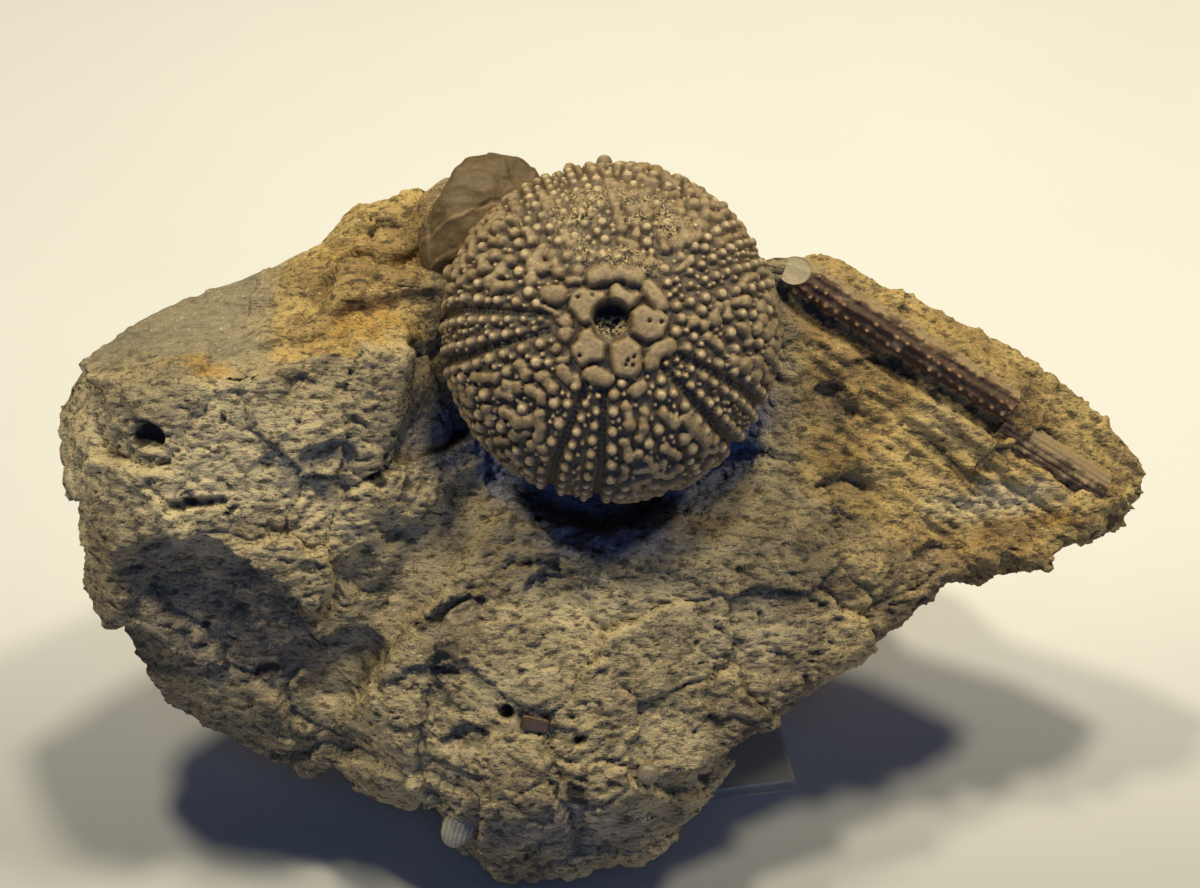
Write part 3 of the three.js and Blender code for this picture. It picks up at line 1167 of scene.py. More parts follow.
    def _bedded(self, ground: Ground, noise: Noise) -> Array:
        """Give the height of the bedding, which runs down to the right along the wing.

        Args:
            ground: What is known of each vertex.
            noise: The block's noise.

        Returns:
            One height for each vertex.
        """
        spots = ground.spots
        down = spots[:, 0] * math.cos(self.bed_turn) + spots[:, 1] * math.sin(self.bed_turn)
        beside = -spots[:, 0] * math.sin(self.bed_turn) + spots[:, 1] * math.cos(self.bed_turn)
        beds = np.stack([down / self.bed_stretch, beside, spots[:, 2]], axis=1)
        beds += 0.05 * ground.warp
        return ground.wing * (0.12 + 0.30 * ground.fine) * noise.fractal(beds, 1.0, 3, 0.6)

    def _restrained(self, mesh: bpy.types.Mesh, ground: Ground, height: Array) -> Array:
        """Hold the relief back at edges, beside the bigger fossils and in thin stone.

        Args:
            mesh: The block's mesh.
            ground: What is known of each vertex.
            height: The free height of each vertex.

        Returns:
            The height that each may have.
        """
        least = 0.6 - 0.42 * ground.wing
        height = height * (least + (1 - least) * ease(ground.facing[:, 2], -0.4, 0.4))
        height = height * (1 - 0.75 * ground.wing * (1 - ground.fine))
        height = np.minimum(height, self.tallest)
        height = np.where(height > 0, height * self._room(ground.spots), height)
        return np.maximum(height, -0.30 * self._thickness(mesh))

    @staticmethod
    def _colour(mesh: bpy.types.Mesh, ground: Ground, hollow: Array, shade: Array) -> None:
        """Store what the finish reads.

        Args:
            mesh: The block's mesh.
            ground: What is known of each vertex.
            hollow: How deep in a pit or a mark each vertex is, from 0 to 1, painted as shade.
            shade: How much painted shade the moat and the scoops get, from 0 to 1.
        """
        spots, warp, front = ground.spots, ground.warp, ground.front
        wing, behind = ground.wing, ground.behind
        warm = np.maximum(wing, behind * ease(spots[:, 0] + 2 * warp[:, 0], -30, -24))
        warm *= ease(spots[:, 2] + 2 * warp[:, 1], -17.0, -9.0)
        paint(mesh, "hollow", hollow)
        paint(mesh, "rust", strongest(RUSTED, spots) * front)
        # The moat, the scoops and the downward patches get painted shade.
        paint(mesh, "shade", np.maximum(shade, strongest(PAINTED_SHADE_PATCHES, spots + 0.8 * warp) * front))
        # Paler patches, partly painted light on well-lit faces.
        paint(mesh, "pale", strongest(PALER_AND_LIT_PATCHES, spots + 1.2 * warp) * front * (1 - behind))
        paint(mesh, "smooth", behind * ease(spots[:, 0], -24, -30))
        paint(mesh, "warm", np.maximum(warm, 0.5 * ease(spots[:, 0], 10.0, 22.0)))

    def _moated(self, spots: Array) -> Array:
        """Give how deep in the moat beside the test each place is, from 0 to 1."""
        near = ease(oval(spots, *self.moat), 1.12, 1.03) * ease(spots[:, 1], 6.0, 0.0)
        return near * ease(spots[:, 2], -3.2, -4.6) * ease(spots[:, 2], -13.0, -11.5)

    @staticmethod
    def _pits(noise: Noise, drawn: Array, spots: Array) -> Array:
        """Give where the small dark pits are, from 0 to 1.

        Args:
            noise: The block's noise.
            drawn: The places drawn together along the grain.
            spots: The places on the face.

        Returns:
            One share for each place.
        """
        crowd = 0.16 * noise.smooth(spots / 7.0 + 3.0)
        wide = ease(noise.smooth(spots / 2.0 + 5.0) + crowd, 0.62, 0.76)
        narrow = ease(noise.smooth(drawn / 0.70 + 8.0) + crowd, 0.52, 0.66)
        return np.maximum(wide, 0.70 * narrow)

    @staticmethod
    def _thickness(mesh: bpy.types.Mesh, reach: float = 6.0) -> Array:
        """Give how much stone lies behind each vertex, up to a reach, in millimetres.

        Args:
            mesh: The block's mesh.
            reach: How deep is looked.

        Returns:
            One depth for each vertex.
        """
        tree = BVHTree.FromPolygons(
            [vert.co for vert in mesh.vertices], [face.vertices for face in mesh.polygons]
        )
        depth = np.full(len(mesh.vertices), reach)
        for vert in mesh.vertices:
            inward = -vert.normal
            hit = tree.ray_cast(vert.co + inward * 1e-5, inward, reach * MM)
            if hit[3] is not None:
                depth[vert.index] = hit[3] / MM
        return depth

    @staticmethod
    def _room(spots: Array) -> Array:
        """Give how far stone may swell at each place, from 0 beside the bigger fossils to 1."""
        test = np.linalg.norm((spots - TEST_CENTRE) / TEST_ROOM, axis=1)
        shell = np.linalg.norm((spots - SHELL_CENTRE) / SHELL_ROOM, axis=1)
        return ease(test, 1.0, 1.12) * ease(shell, 1.0, 1.15)


# ---- The test ----

# A bearing in degrees, anticlockwise from the right, and a distance from the test's axis.
Polar = Pair
# A place on the dome and how far what stands there reaches.
Spot = tuple[Array, float]


class Ornament(Enum):
    """What a raised feature of the test is, as (roundness of its crown, its paleness)."""

    BEAD = (2.0, 1.0)
    RIDGE = (2.4, 0.45)
    LOBE = (2.8, 0.35)


@dataclass(frozen=True)
class Boss:
    """One raised feature: a path over the dome, its half width and its height."""

    kind: Ornament
    path: tuple[Array, ...]
    half: float
    height: float


@dataclass(frozen=True)
class Plate:
    """One plate beside the hole of the test: its outline and its pores."""

    outline: tuple[Polar, ...]
    pores: tuple[Polar, ...]
    height: float = 0.62
    shoulder: float = 0.42
    pore: float = 0.14

    @staticmethod
    def _flat(spots: tuple[Polar, ...]) -> Array:
        """Turn bearings and distances into places across the dome."""
        bearing, out = np.radians([s[0] for s in spots]), np.array([s[1] for s in spots])
        return np.stack([out * np.cos(bearing), out * np.sin(bearing)], axis=1)

    def rise(self, flat: Array) -> Array:
        """Give the plate's height at places across the dome, 0 outside it.

        Args:
            flat: The places across the dome, one row each.

        Returns:
            One height for each place.
        """
        corners = self._flat(self.outline)
        nearest = beside_path(flat, [*corners, corners[0]])
        inside = np.zeros(len(flat), dtype=bool)
        for start, end in zip(corners, np.roll(corners, -1, axis=0)):
            run = end - start
            spans = (start[1] > flat[:, 1]) != (end[1] > flat[:, 1])
            slope = run[1] if run[1] else TINY
            crossing = start[0] + (flat[:, 1] - start[1]) * run[0] / slope
            inside ^= spans & (flat[:, 0] < crossing)
        edge = np.clip((nearest - 0.05) / self.shoulder, 0.0, 1.0)
        return np.where(inside, self.height * np.sqrt(1 - (1 - edge) ** 2), 0.0)

    def hollowed(self, flat: Array) -> Array:
        """Give how deep in a pore each place is, from 0 to 1.

        Args:
            flat: The places across the dome, one row each.

        Returns:
            One depth for each place.
        """
        deep = np.zeros(len(flat))
        for spot in self._flat(self.pores) if self.pores else ():
            away = np.hypot(*(flat - spot).T)
            deep = np.maximum(deep, ease(away, self.pore * 1.5, self.pore * 0.5))
        return deep


PLATES: tuple[Plate, ...] = (
    Plate(
        ((99, 1.25), (99, 2.1), (114, 2.35), (124, 2.65), (129, 3.15), (139, 3.4), (149, 3.5),
         (160, 3.35), (167, 3.3), (173, 2.8), (184, 2.45), (193, 2.1), (196, 1.3), (170, 1.25),
         (145, 1.25), (120, 1.2)),
        ((147, 2.85), (128, 2.2)),
    ),
    Plate(
        ((96, 1.25), (96, 2.1), (91, 2.5), (82, 2.77), (75, 2.7), (64, 2.45), (54, 2.5), (47, 2.9),
         (36, 2.95), (31, 2.45), (25, 1.85), (26, 1.4), (50, 1.25), (75, 1.2)),
        (),
    ),
    Plate(
        ((22, 1.45), (27, 2.1), (26, 2.65), (19, 3.0), (13, 3.2), (10, 3.8), (3, 4.3), (-3, 4.35),
         (-10, 4.15), (-19, 4.1), (-27, 3.6), (-34, 3.1), (-36, 2.5), (-38, 1.7), (-20, 1.5), (0, 1.4)),
        ((-4, 2.76), (-4, 3.65)),
        height=0.68,
    ),
    Plate(
        ((-42, 1.7), (-40, 3.0), (-48, 3.45), (-56, 4.25), (-63, 4.6), (-72, 4.6), (-82, 4.35),
         (-88, 4.0), (-92, 3.1), (-95, 2.0), (-95, 1.7), (-70, 1.6)),
        ((-68, 3.25), (-65, 3.7), (-59, 3.2), (-72, 3.5)),
    ),
    Plate(
        ((262, 1.7), (262, 3.05), (256, 3.25), (245, 3.55), (241, 4.1), (236, 4.2), (227, 4.0),
         (219, 3.9), (213, 3.55), (211, 2.9), (204, 2.65), (199, 2.2), (201, 1.5), (232, 1.6)),
        ((230, 3.5),),
    ),
)

# Lobes of the small plates outside these, as a path of bearings and distances and a half width.
LOBES: tuple[tuple[tuple[Polar, ...], float], ...] = (
    (((183, 3.32),), 0.56), (((198, 3.5),), 0.56),
    (((250, 4.25), (266, 4.35)), 0.62),
    (((-24, 4.7), (-37, 4.05), (-48, 4.35)), 0.60),
    (((40, 3.55), (17, 3.85)), 0.62),
    (((112, 3.3), (98, 3.35)), 0.76),
    (((80, 3.45), (58, 3.65)), 0.62),
    (((124, 4.4),), 0.40), (((138, 4.2), (130, 3.75)), 0.34),
    (((158, 4.9), (154, 4.2)), 0.68),
    (((169, 5.0), (174, 3.95)), 0.24),
    (((218, 4.75), (222, 4.45)), 0.36),
    (((233, 5.35), (226, 5.2)), 0.50),
    (((243, 5.45), (240, 5.0)), 0.34),
    (((208, 4.55),), 0.36),
    (((288, 5.45), (294, 5.35)), 0.52),
)

# The large beads that stand out on the outline: their bearing and half width.
KNOBS: tuple[Pair, ...] = ((160, 0.72), (92, 0.66), (104, 0.5), (-12, 0.6), (48, 0.5))


@dataclass
class Dome:
    """The smooth form of the test under its ornament, in millimetres, base at height 0."""

    radius: float = 12.9
    widest: float = 6.0
    top: float = 14.15
    base_radius: float = 9.3
    bulge: float = 2.25
    steps: int = 400

    def __post_init__(self) -> None:
        """Measure the outline from the pole to the rim of the base."""
        lowest = -math.acos(self.base_radius / self.radius)
        angle = np.linspace(math.pi / 2, lowest, self.steps)
        bulge = np.where(angle >= 0, self.bulge, 2.0)
        rise = np.where(angle >= 0, self.top - self.widest, self.widest / -math.sin(lowest))
        self.out = self.radius * np.abs(np.cos(angle)) ** (2 / bulge)
        self.up = self.widest + rise * np.sign(angle) * np.abs(np.sin(angle)) ** (2 / bulge)
        self.out[0] = 0.0
        step = np.hypot(np.diff(self.out), np.diff(self.up))
        self.arc = np.concatenate([[0.0], np.cumsum(step)])
        ring = (self.out[1:] + self.out[:-1]) * math.pi * step
        self.area = np.concatenate([[0.0], np.cumsum(ring)])
        self.ambitus = float(self.arc[int(np.argmax(self.out))])

    def point(self, bearing: Array, arc: Array) -> Array:
        """Give the places at some bearings, in radians, and distances over the dome."""
        out = np.interp(arc, self.arc, self.out)
        up = np.interp(arc, self.arc, self.up)
        return np.stack([out * np.cos(bearing), out * np.sin(bearing), up], axis=-1)

    def arc_at(self, out: float) -> float:
        """Turn a distance from the axis, on the upper side, into one over the dome."""
        upper = self.arc <= self.ambitus
        return float(np.interp(out, self.out[upper], self.arc[upper]))

    def arc_of_area(self, share: Array) -> Array:
        """Give the distance over the dome within which a share of its area lies."""
        return np.interp(share * self.area[-1], self.area, self.arc)


@dataclass
class Ornamentation:
    """What the ornament gives each vertex of the test: its height and what is painted there."""

    height: Array
    tip: Array
    pale: Array
    pore: Array


@dataclass
class Test:
    """The sea urchin's test: a low dome of plates set with beads and worm-like ridges.

    Sizes are in millimetres. The ambulacra are given by their bearings in degrees.
    """

    face: Face
    finish: Calcite = field(default_factory=Calcite)
    dome: Dome = field(default_factory=Dome)
    tilt: float = math.radians(3)
    cuts: int = 311
    ambulacra: tuple[float, ...] = (28.0, 109.0, 183.0, 257.0, 325.0)
    first_bead: float = 5.2
    rim: float = 0.4
    pore_pitch: float = 0.44
    hole: float = 1.50
    hole_depth: float = 1.15
    least_apart: float = 0.05
    joined: float = 1.40
    seed: int = 5
    noise_seed: int = 23

    def build(self) -> bpy.types.Object:
        """Make and dress the test.

        Returns:
            The finished piece.
        """
        piece = self._plain_dome()
        self._raise_ornament(piece.data)
        finish_piece(piece, self.finish.material(), ["urchin_test"])
        return piece

    def _plain_dome(self) -> bpy.types.Object:
        """Draw a square grid out evenly over the dome and close its base.

        Returns:
            The dome, upright about its own axis.
        """
        form = bmesh.new()
        bmesh.ops.create_grid(form, x_segments=self.cuts, y_segments=self.cuts, size=1.0)
        rim = [edge for edge in form.edges if edge.is_boundary]
        wall = bmesh.ops.extrude_edge_only(form, edges=rim)["geom"]
        inner = [v for v in wall if isinstance(v, bmesh.types.BMVert)]
        for vert in inner:
            vert.co.z = 1.0
        bmesh.ops.pointmerge(form, verts=inner, merge_co=(0, 0, 1))
        piece = mesh_from(form, "sea_urchin_test")
        flat = points_of(piece.data)
        cap = flat[:, 2] > 0.5
        x, y = flat[:, 0], flat[:, 1]
        reach = np.maximum(np.abs(x), np.abs(y))
        wide = np.abs(x) >= np.abs(y)
        slope = np.where(wide, y / np.where(x == 0, 1, x), x / np.where(y == 0, 1, y))
        bearing = np.where(
            wide, np.where(x < 0, math.pi, 0) + slope * math.pi / 4,
            np.where(y < 0, -math.pi / 2, math.pi / 2) - slope * math.pi / 4,
        )
        self.bearing = np.where(cap, 0, bearing)
        self.arc = np.where(cap, self.dome.arc[-1], self.dome.arc_of_area(reach**2))
        self.cap = cap
        points = self.dome.point(self.bearing, self.arc)
        points[cap] = (0, 0, 0)
        move_points(piece.data, points)
        return piece

    def _place(self, points: Array) -> Array:
        """Turn places on the test, in its own frame, into metres in the object's frame.

        Args:
            points: The places, one row each.

        Returns:
            The same places in the object's frame.
        """
        sin, cos = math.sin(self.tilt), math.cos(self.tilt)
        turn = np.array([[1, 0, 0], [0, cos, -sin], [0, sin, cos]])
        centred = points - np.array([0, 0, self.dome.widest])
        return self.face.to_world(centred @ turn + TEST_CENTRE)

    # -- where the ornament lies --

    def _on_dome(self, bearing: float, out: float) -> Array:
        """Give the place at a bearing in degrees and a distance from the axis."""
        arc = self.dome.arc_at(out)
        return self.dome.point(np.array(math.radians(bearing)), np.array(arc))

    def _beside(self, bearing: float, arc: float, aside: float) -> Array:
        """Give the place a step aside, in millimetres, from a line down the dome."""
        out = float(np.interp(arc, self.dome.arc, self.dome.out))
        turned = math.radians(bearing) + aside / max(out, 0.3)
        return self.dome.point(np.array(turned), np.array(arc))

    @staticmethod
    def _reach(arc: Array) -> Array:
        """Give how far the pores stand from an ambulacrum's middle line."""
        return np.clip(0.48 + 0.175 * (arc - 4.4), 0.3, 1.80)

    def _from_ambulacra(self, bearing: Array, arc: Array) -> Array:
        """Give the distance aside, in millimetres, from the nearest ambulacrum's middle line.

        Args:
            bearing: The bearings of the places, in radians.
            arc: Their distances over the dome.

        Returns:
            One distance for each place.
        """
        out = np.interp(arc, self.dome.arc, self.dome.out)
        nearest = np.full(len(arc), FAR)
        for line in self.ambulacra:
            turn = (bearing - math.radians(line) + math.pi) % (2 * math.pi) - math.pi
            nearest = np.minimum(nearest, np.abs(turn) * out)
        return nearest

    @staticmethod
    def _worn(bearing: Array) -> Array:
        """Give how far the pores are grown over, from 0 to 1, at bearings in radians."""
        turn = (np.degrees(bearing) - 68 + 180) % 360 - 180
        return ease(np.abs(turn), 68, 56)

    def _ambulacral_beads(self, rng: np.random.Generator, end: float) -> list[Boss]:
        """Give the two columns of beads of each ambulacrum, and the larger ones beside them.

        Args:
            rng: The random draws.
            end: How far over the dome the columns run.

        Returns:
            The beads.
        """
        found = []
        for line, side in itertools.product(self.ambulacra, (-1, 1)):
            arc = self.first_bead + 0.5 * (side > 0)
            while arc < end:
                reach = float(self._reach(np.array(arc)))
                aside = max(0.50 * reach, 0.20 if reach < 0.85 else 0.42)
                half = min(0.39, 0.30 * reach + 0.06) * rng.uniform(0.92, 1.06)
                spot = self._beside(line, arc, side * aside)
                found.append(Boss(Ornament.BEAD, (spot,), half, half * 1.15))
                arc += rng.uniform(1.0, 1.15) if reach > 0.85 else rng.uniform(1.15, 1.3)
            arc = self.first_bead + 0.2 + rng.uniform(0.0, 0.8)
            while arc < end:
                aside = float(self._reach(np.array(arc))) + 0.80
                half = rng.uniform(0.40, 0.48)
                spot = self._beside(line, arc, side * aside)
                found.append(Boss(Ornament.BEAD, (spot,), half, half * 1.05))
                arc += rng.uniform(1.15, 1.7)
        return found

    def _scatter(
        self, rng: np.random.Generator, taken: list[Spot], half: Pair, gap: float, tries: int
    ) -> list[Spot]:
        """Strew places over the broad bands of the dome, none too near another.

        Args:
            rng: The random draws.
            taken: The places already held, and how far each reaches; new ones are added.
            half: The least and greatest reach of a new place.
            gap: The bare width left between two.
            tries: How many places are tried.

        Returns:
            The new places and their reaches.
        """
        bearing = rng.uniform(-math.pi, math.pi, tries)
        arc = self.dome.arc_of_area(rng.random(tries))
        halves = rng.uniform(*half, tries)
        spots = self.dome.point(bearing, arc)
        aside = self._from_ambulacra(bearing, arc)
        clear = aside - halves > self._reach(arc) + 0.34 - 1.3 * self._worn(bearing)
        clear |= (aside + halves < self._reach(arc) - 0.22) & (halves < 0.3)
        clear &= (arc > 4.6) & (arc < self.dome.arc[-1] - self.rim)
        held = np.array([spot for spot, _ in taken])
        reach = np.array([size for _, size in taken])
        found = []
        for spot, size in zip(spots[clear], halves[clear]):
            away = np.sqrt(((held - spot) ** 2).sum(axis=1))
            if np.all(away > reach + size + gap):
                held = np.vstack([held, spot])
                reach = np.append(reach, size)
                found.append((spot, float(size)))
        taken += found
        return found

    @staticmethod
    def _join(rng: np.random.Generator, nodes: list[Spot], reach: float) -> list[Boss]:
        """Run neighbouring places together into beads and short bent or forked ridges.

        Args:
            rng: The random draws.
            nodes: The places and their half widths.
            reach: How far apart two places may be joined.

        Returns:
            The beads and ridges.
        """
        spots = np.array([spot for spot, _ in nodes])
        used = np.zeros(len(nodes), dtype=bool)
        found = []

        def nearest(index: int) -> int | None:
            """Give the nearest place not yet used, within reach.

            Args:
                index: The number of the place that is joined on.

            Returns:
                The number of the nearest place, or None.
            """
            away = np.sqrt(((spots - spots[index]) ** 2).sum(axis=1))
            away[used] = FAR
            best = int(np.argmin(away))
            return best if away[best] < reach else None

        for index, (spot, half) in enumerate(nodes):
            if used[index]:
                continue
            used[index] = True
            chain, fork = [index], None
            for chance in (0.72, 0.45, 0.22):
                following = nearest(chain[-1]) if rng.random() < chance else None
                if following is None:
                    break
                used[following] = True
                chain.append(following)
            if len(chain) == 3 and rng.random() < 0.4:
                fork = nearest(chain[1])
            width = half * rng.uniform(0.88, 1.08)
            kind = Ornament.BEAD if len(chain) == 1 else Ornament.RIDGE
            path = tuple(spots[step] for step in chain)
            if len(path) == 1:
                found.append(Boss(kind, path, width, width * 0.98))
                continue
            found.append(Boss(kind, path, width * 0.84, width * 0.80))
            for spot in path:
                swell = width * rng.uniform(0.92, 1.16)
                found.append(Boss(kind, (spot,), swell, swell * 0.98))
            if fork is not None:
                used[fork] = True
                found.append(Boss(kind, (spots[chain[1]], spots[fork]), width * 0.9, width * 0.9))
        return found

    def _bosses(self) -> list[Boss]:
        """Give every raised feature but the large plates.

        Returns:
            The features, in the order in which they are raised.
        """
        rng = np.random.default_rng(self.seed)
        end = float(self.dome.arc[-1]) - self.rim
        found = [
            Boss(Ornament.LOBE, tuple(self._on_dome(*step) for step in path), half, half * 0.9)
            for path, half in LOBES
        ]
        found += self._ambulacral_beads(rng, end)
        above = np.array(self.dome.ambitus - 1.2)
        for bearing, half in KNOBS:
            spot = self.dome.point(np.array(math.radians(bearing)), above)
            found.append(Boss(Ornament.BEAD, (spot,), half, half * 1.3))
        taken = [(spot, boss.half) for boss in found for spot in boss.path]
        nodes = self._scatter(rng, taken, (0.42, 0.54), self.least_apart, 9000)
        nodes += self._scatter(rng, taken, (0.34, 0.42), 0.0, 14000)
        found += self._join(rng, nodes, self.joined)
        for spot, half in self._scatter(rng, taken, (0.17, 0.27), 0.0, 12000):
            found.append(Boss(Ornament.BEAD, (spot,), half, half))
        return found

    # -- raising it --

    def _raise_ornament(self, mesh: bpy.types.Mesh) -> None:
        """Lift the ornament out of the dome and store what the material reads.

        Args:
            mesh: The dome's mesh, which is changed.
        """
        noise = Noise(self.noise_seed)
        points = points_of(mesh)
        upper = self.arc < self.dome.ambitus
        laid = Ornamentation(*(np.zeros(len(points)) for _ in range(4)))
        self._raise_bosses(points, noise, laid)
        self._raise_plates(points, upper, laid)
        zone = self._sink_pores(points, noise, laid)

        caked = self._caked(points, noise)
        sandy = caked * np.where(laid.tip <= 0.0, 1.0, 0.30)
        silt = 0.38 + 0.44 * noise.fractal(points, 0.40, 2)
        laid.height = np.where(caked > 0, np.maximum(laid.height, caked * silt), laid.height)
        well = self._sink_hole(points, upper, noise, laid)
        sandy = np.maximum(sandy, well * 0.9)

        keep = ~self.cap & (points[:, 2] > 0.3)
        moved = points + normals_of(mesh) * (laid.height * keep)[:, None]
        move_points(mesh, self._place(moved))
        paint(mesh, "tip", np.clip(laid.tip, 0, 1))
        paint(mesh, "pale", laid.pale)
        # Painted shade in the pores, the hole and the bands of pores.
        paint(mesh, "pore", laid.pore)
        paint(mesh, "zone", zone)
        paint(mesh, "caked", np.clip(sandy, 0, 1))

    def _raise_bosses(self, points: Array, noise: Noise, laid: Ornamentation) -> None:
        """Raise the beads evenly, and the ridges and lobes with wandering edges.

        Args:
            points: The dome's points.
            noise: The test's noise.
            laid: The ornament, which is changed.
        """
        rng = np.random.default_rng(self.seed + 1)
        strayed = points + 0.17 * noise.drift(points, 0.9, 2, (11.0, 29.0, 53.0))
        for boss in self._bosses():
            crown, light = boss.kind.value
            near, away = self._within(points if boss.kind is Ornament.BEAD else strayed, boss)
            part = (1 - (away / boss.half) ** crown) ** (1 / crown)
            better = boss.height * part > laid.height[near]
            where = near[better]
            laid.height[where] = boss.height * part[better]
            laid.tip[where] = part[better]
            laid.pale[where] = light * rng.uniform(0.55, 1.0)

    @staticmethod
    def _raise_plates(points: Array, upper: Array, laid: Ornamentation) -> None:
        """Raise the plates around the hole, and sink their pores.

        Args:
            points: The dome's points.
            upper: Which of them are on the upper side.
            laid: The ornament, which is changed.
        """
        flat = points[:, :2]
        for plate in PLATES:
            rise = plate.rise(flat) * upper
            laid.height = np.maximum(laid.height, rise)
            laid.tip = np.maximum(laid.tip, rise / plate.height)
            laid.pale = np.where(rise > 0, 0.35, laid.pale)
            # The plates' pores are stored to be painted as shade.
            laid.pore = np.maximum(laid.pore, plate.hollowed(flat) * upper)
        laid.height = laid.height - 0.32 * laid.pore

    def _sink_pores(self, points: Array, noise: Noise, laid: Ornamentation) -> Array:
        """Sink the ground between the ornament, and the pore pairs along the ambulacra.

        Args:
            points: The dome's points.
            noise: The test's noise.
            laid: The ornament, which is changed.

        Returns:
            The share of each vertex in the bands of pores, from 0 to 1.
        """
        ground = laid.tip <= 0.0
        aside = self._from_ambulacra(self.bearing, self.arc) - self._reach(self.arc)
        zone = ease(np.abs(aside), 0.36, 0.24) * ground * ease(self.arc, 4.3, 4.8)
        zone *= 1 - 0.85 * self._worn(self.bearing)
        beat = ease(np.cos(2 * math.pi * self.arc / self.pore_pitch), 0.0, 0.7)
        inner, outer = (ease(np.abs(aside + step), 0.14, 0.05) for step in (0.15, -0.15))
        pair = np.maximum(inner, outer)
        # The pore pairs are stored to be painted as shade.
        laid.pore = np.maximum(laid.pore, beat * pair * np.minimum(1.4 * zone, 1))
        sunk = np.where(ground, 0.10 + 0.12 * zone, 0.0) + 0.10 * beat * pair * zone
        rough = noise.fractal(points, 0.6, 2) * np.where(ground, 0.09 - 0.07 * zone, 0.03)
        laid.height = laid.height - sunk + rough + noise.fractal(points + 40, 3.0, 2) * 0.08
        return zone

    def _sink_hole(self, points: Array, upper: Array, noise: Noise, laid: Ornamentation) -> Array:
        """Sink the hole between the plates, with crumbs on its floor.

        Args:
            points: The dome's points.
            upper: Which of them are on the upper side.
            noise: The test's noise.
            laid: The ornament, which is changed.

        Returns:
            The share of each vertex in the hole, from 0 to 1.
        """
        well = ease(np.hypot(points[:, 0], points[:, 1]), self.hole, self.hole - 0.30) * upper
        crumbs = 0.3 * noise.fractal(points + 7, 0.4, 2)
        floor = crumbs - self.hole_depth - 0.42 * points[:, 1]
        laid.height = laid.height * (1 - well) + well * floor
        # Painted shade on the deeper side of the hole and in the hollows of its crumbs.
        dark = np.maximum(ease(points[:, 1], 0.1, 0.5), ease(crumbs, 0.0, -0.06))
        laid.pore = np.maximum(laid.pore, well * dark)
        return well

    @staticmethod
    def _within(points: Array, boss: Boss) -> tuple[Array, Array]:
        """Give which points lie within a raised feature's width, and how far from its path.

        Args:
            points: The dome's points.
            boss: The feature.

        Returns:
            The points' numbers and their distances.
        """
        path = np.array(boss.path)
        low, high = path.min(axis=0) - boss.half, path.max(axis=0) + boss.half
        near = np.flatnonzero(((points > low) & (points < high)).all(axis=1))
        away = beside_path(points[near], boss.path)
        inside = away < boss.half
        return near[inside], away[inside]

    @staticmethod
    def _caked(points: Array, noise: Noise) -> Array:
        """Give where sandy matrix still clings to the test, from 0 to 1.

        Args:
            points: The dome's points.
            noise: The test's noise.

        Returns:
            One share for each point.
        """
        bearing = np.degrees(np.arctan2(points[:, 1], points[:, 0]))
        out = np.hypot(points[:, 0], points[:, 1])
        patch = ease(np.abs(bearing - 82), 50, 25) * ease(out, 3.2, 4.6) * ease(out, 11.5, 8.5)
        return patch * ease(noise.fractal(points + 3, 2.2, 2), -0.35, 0.25)


# ---- Spines ----


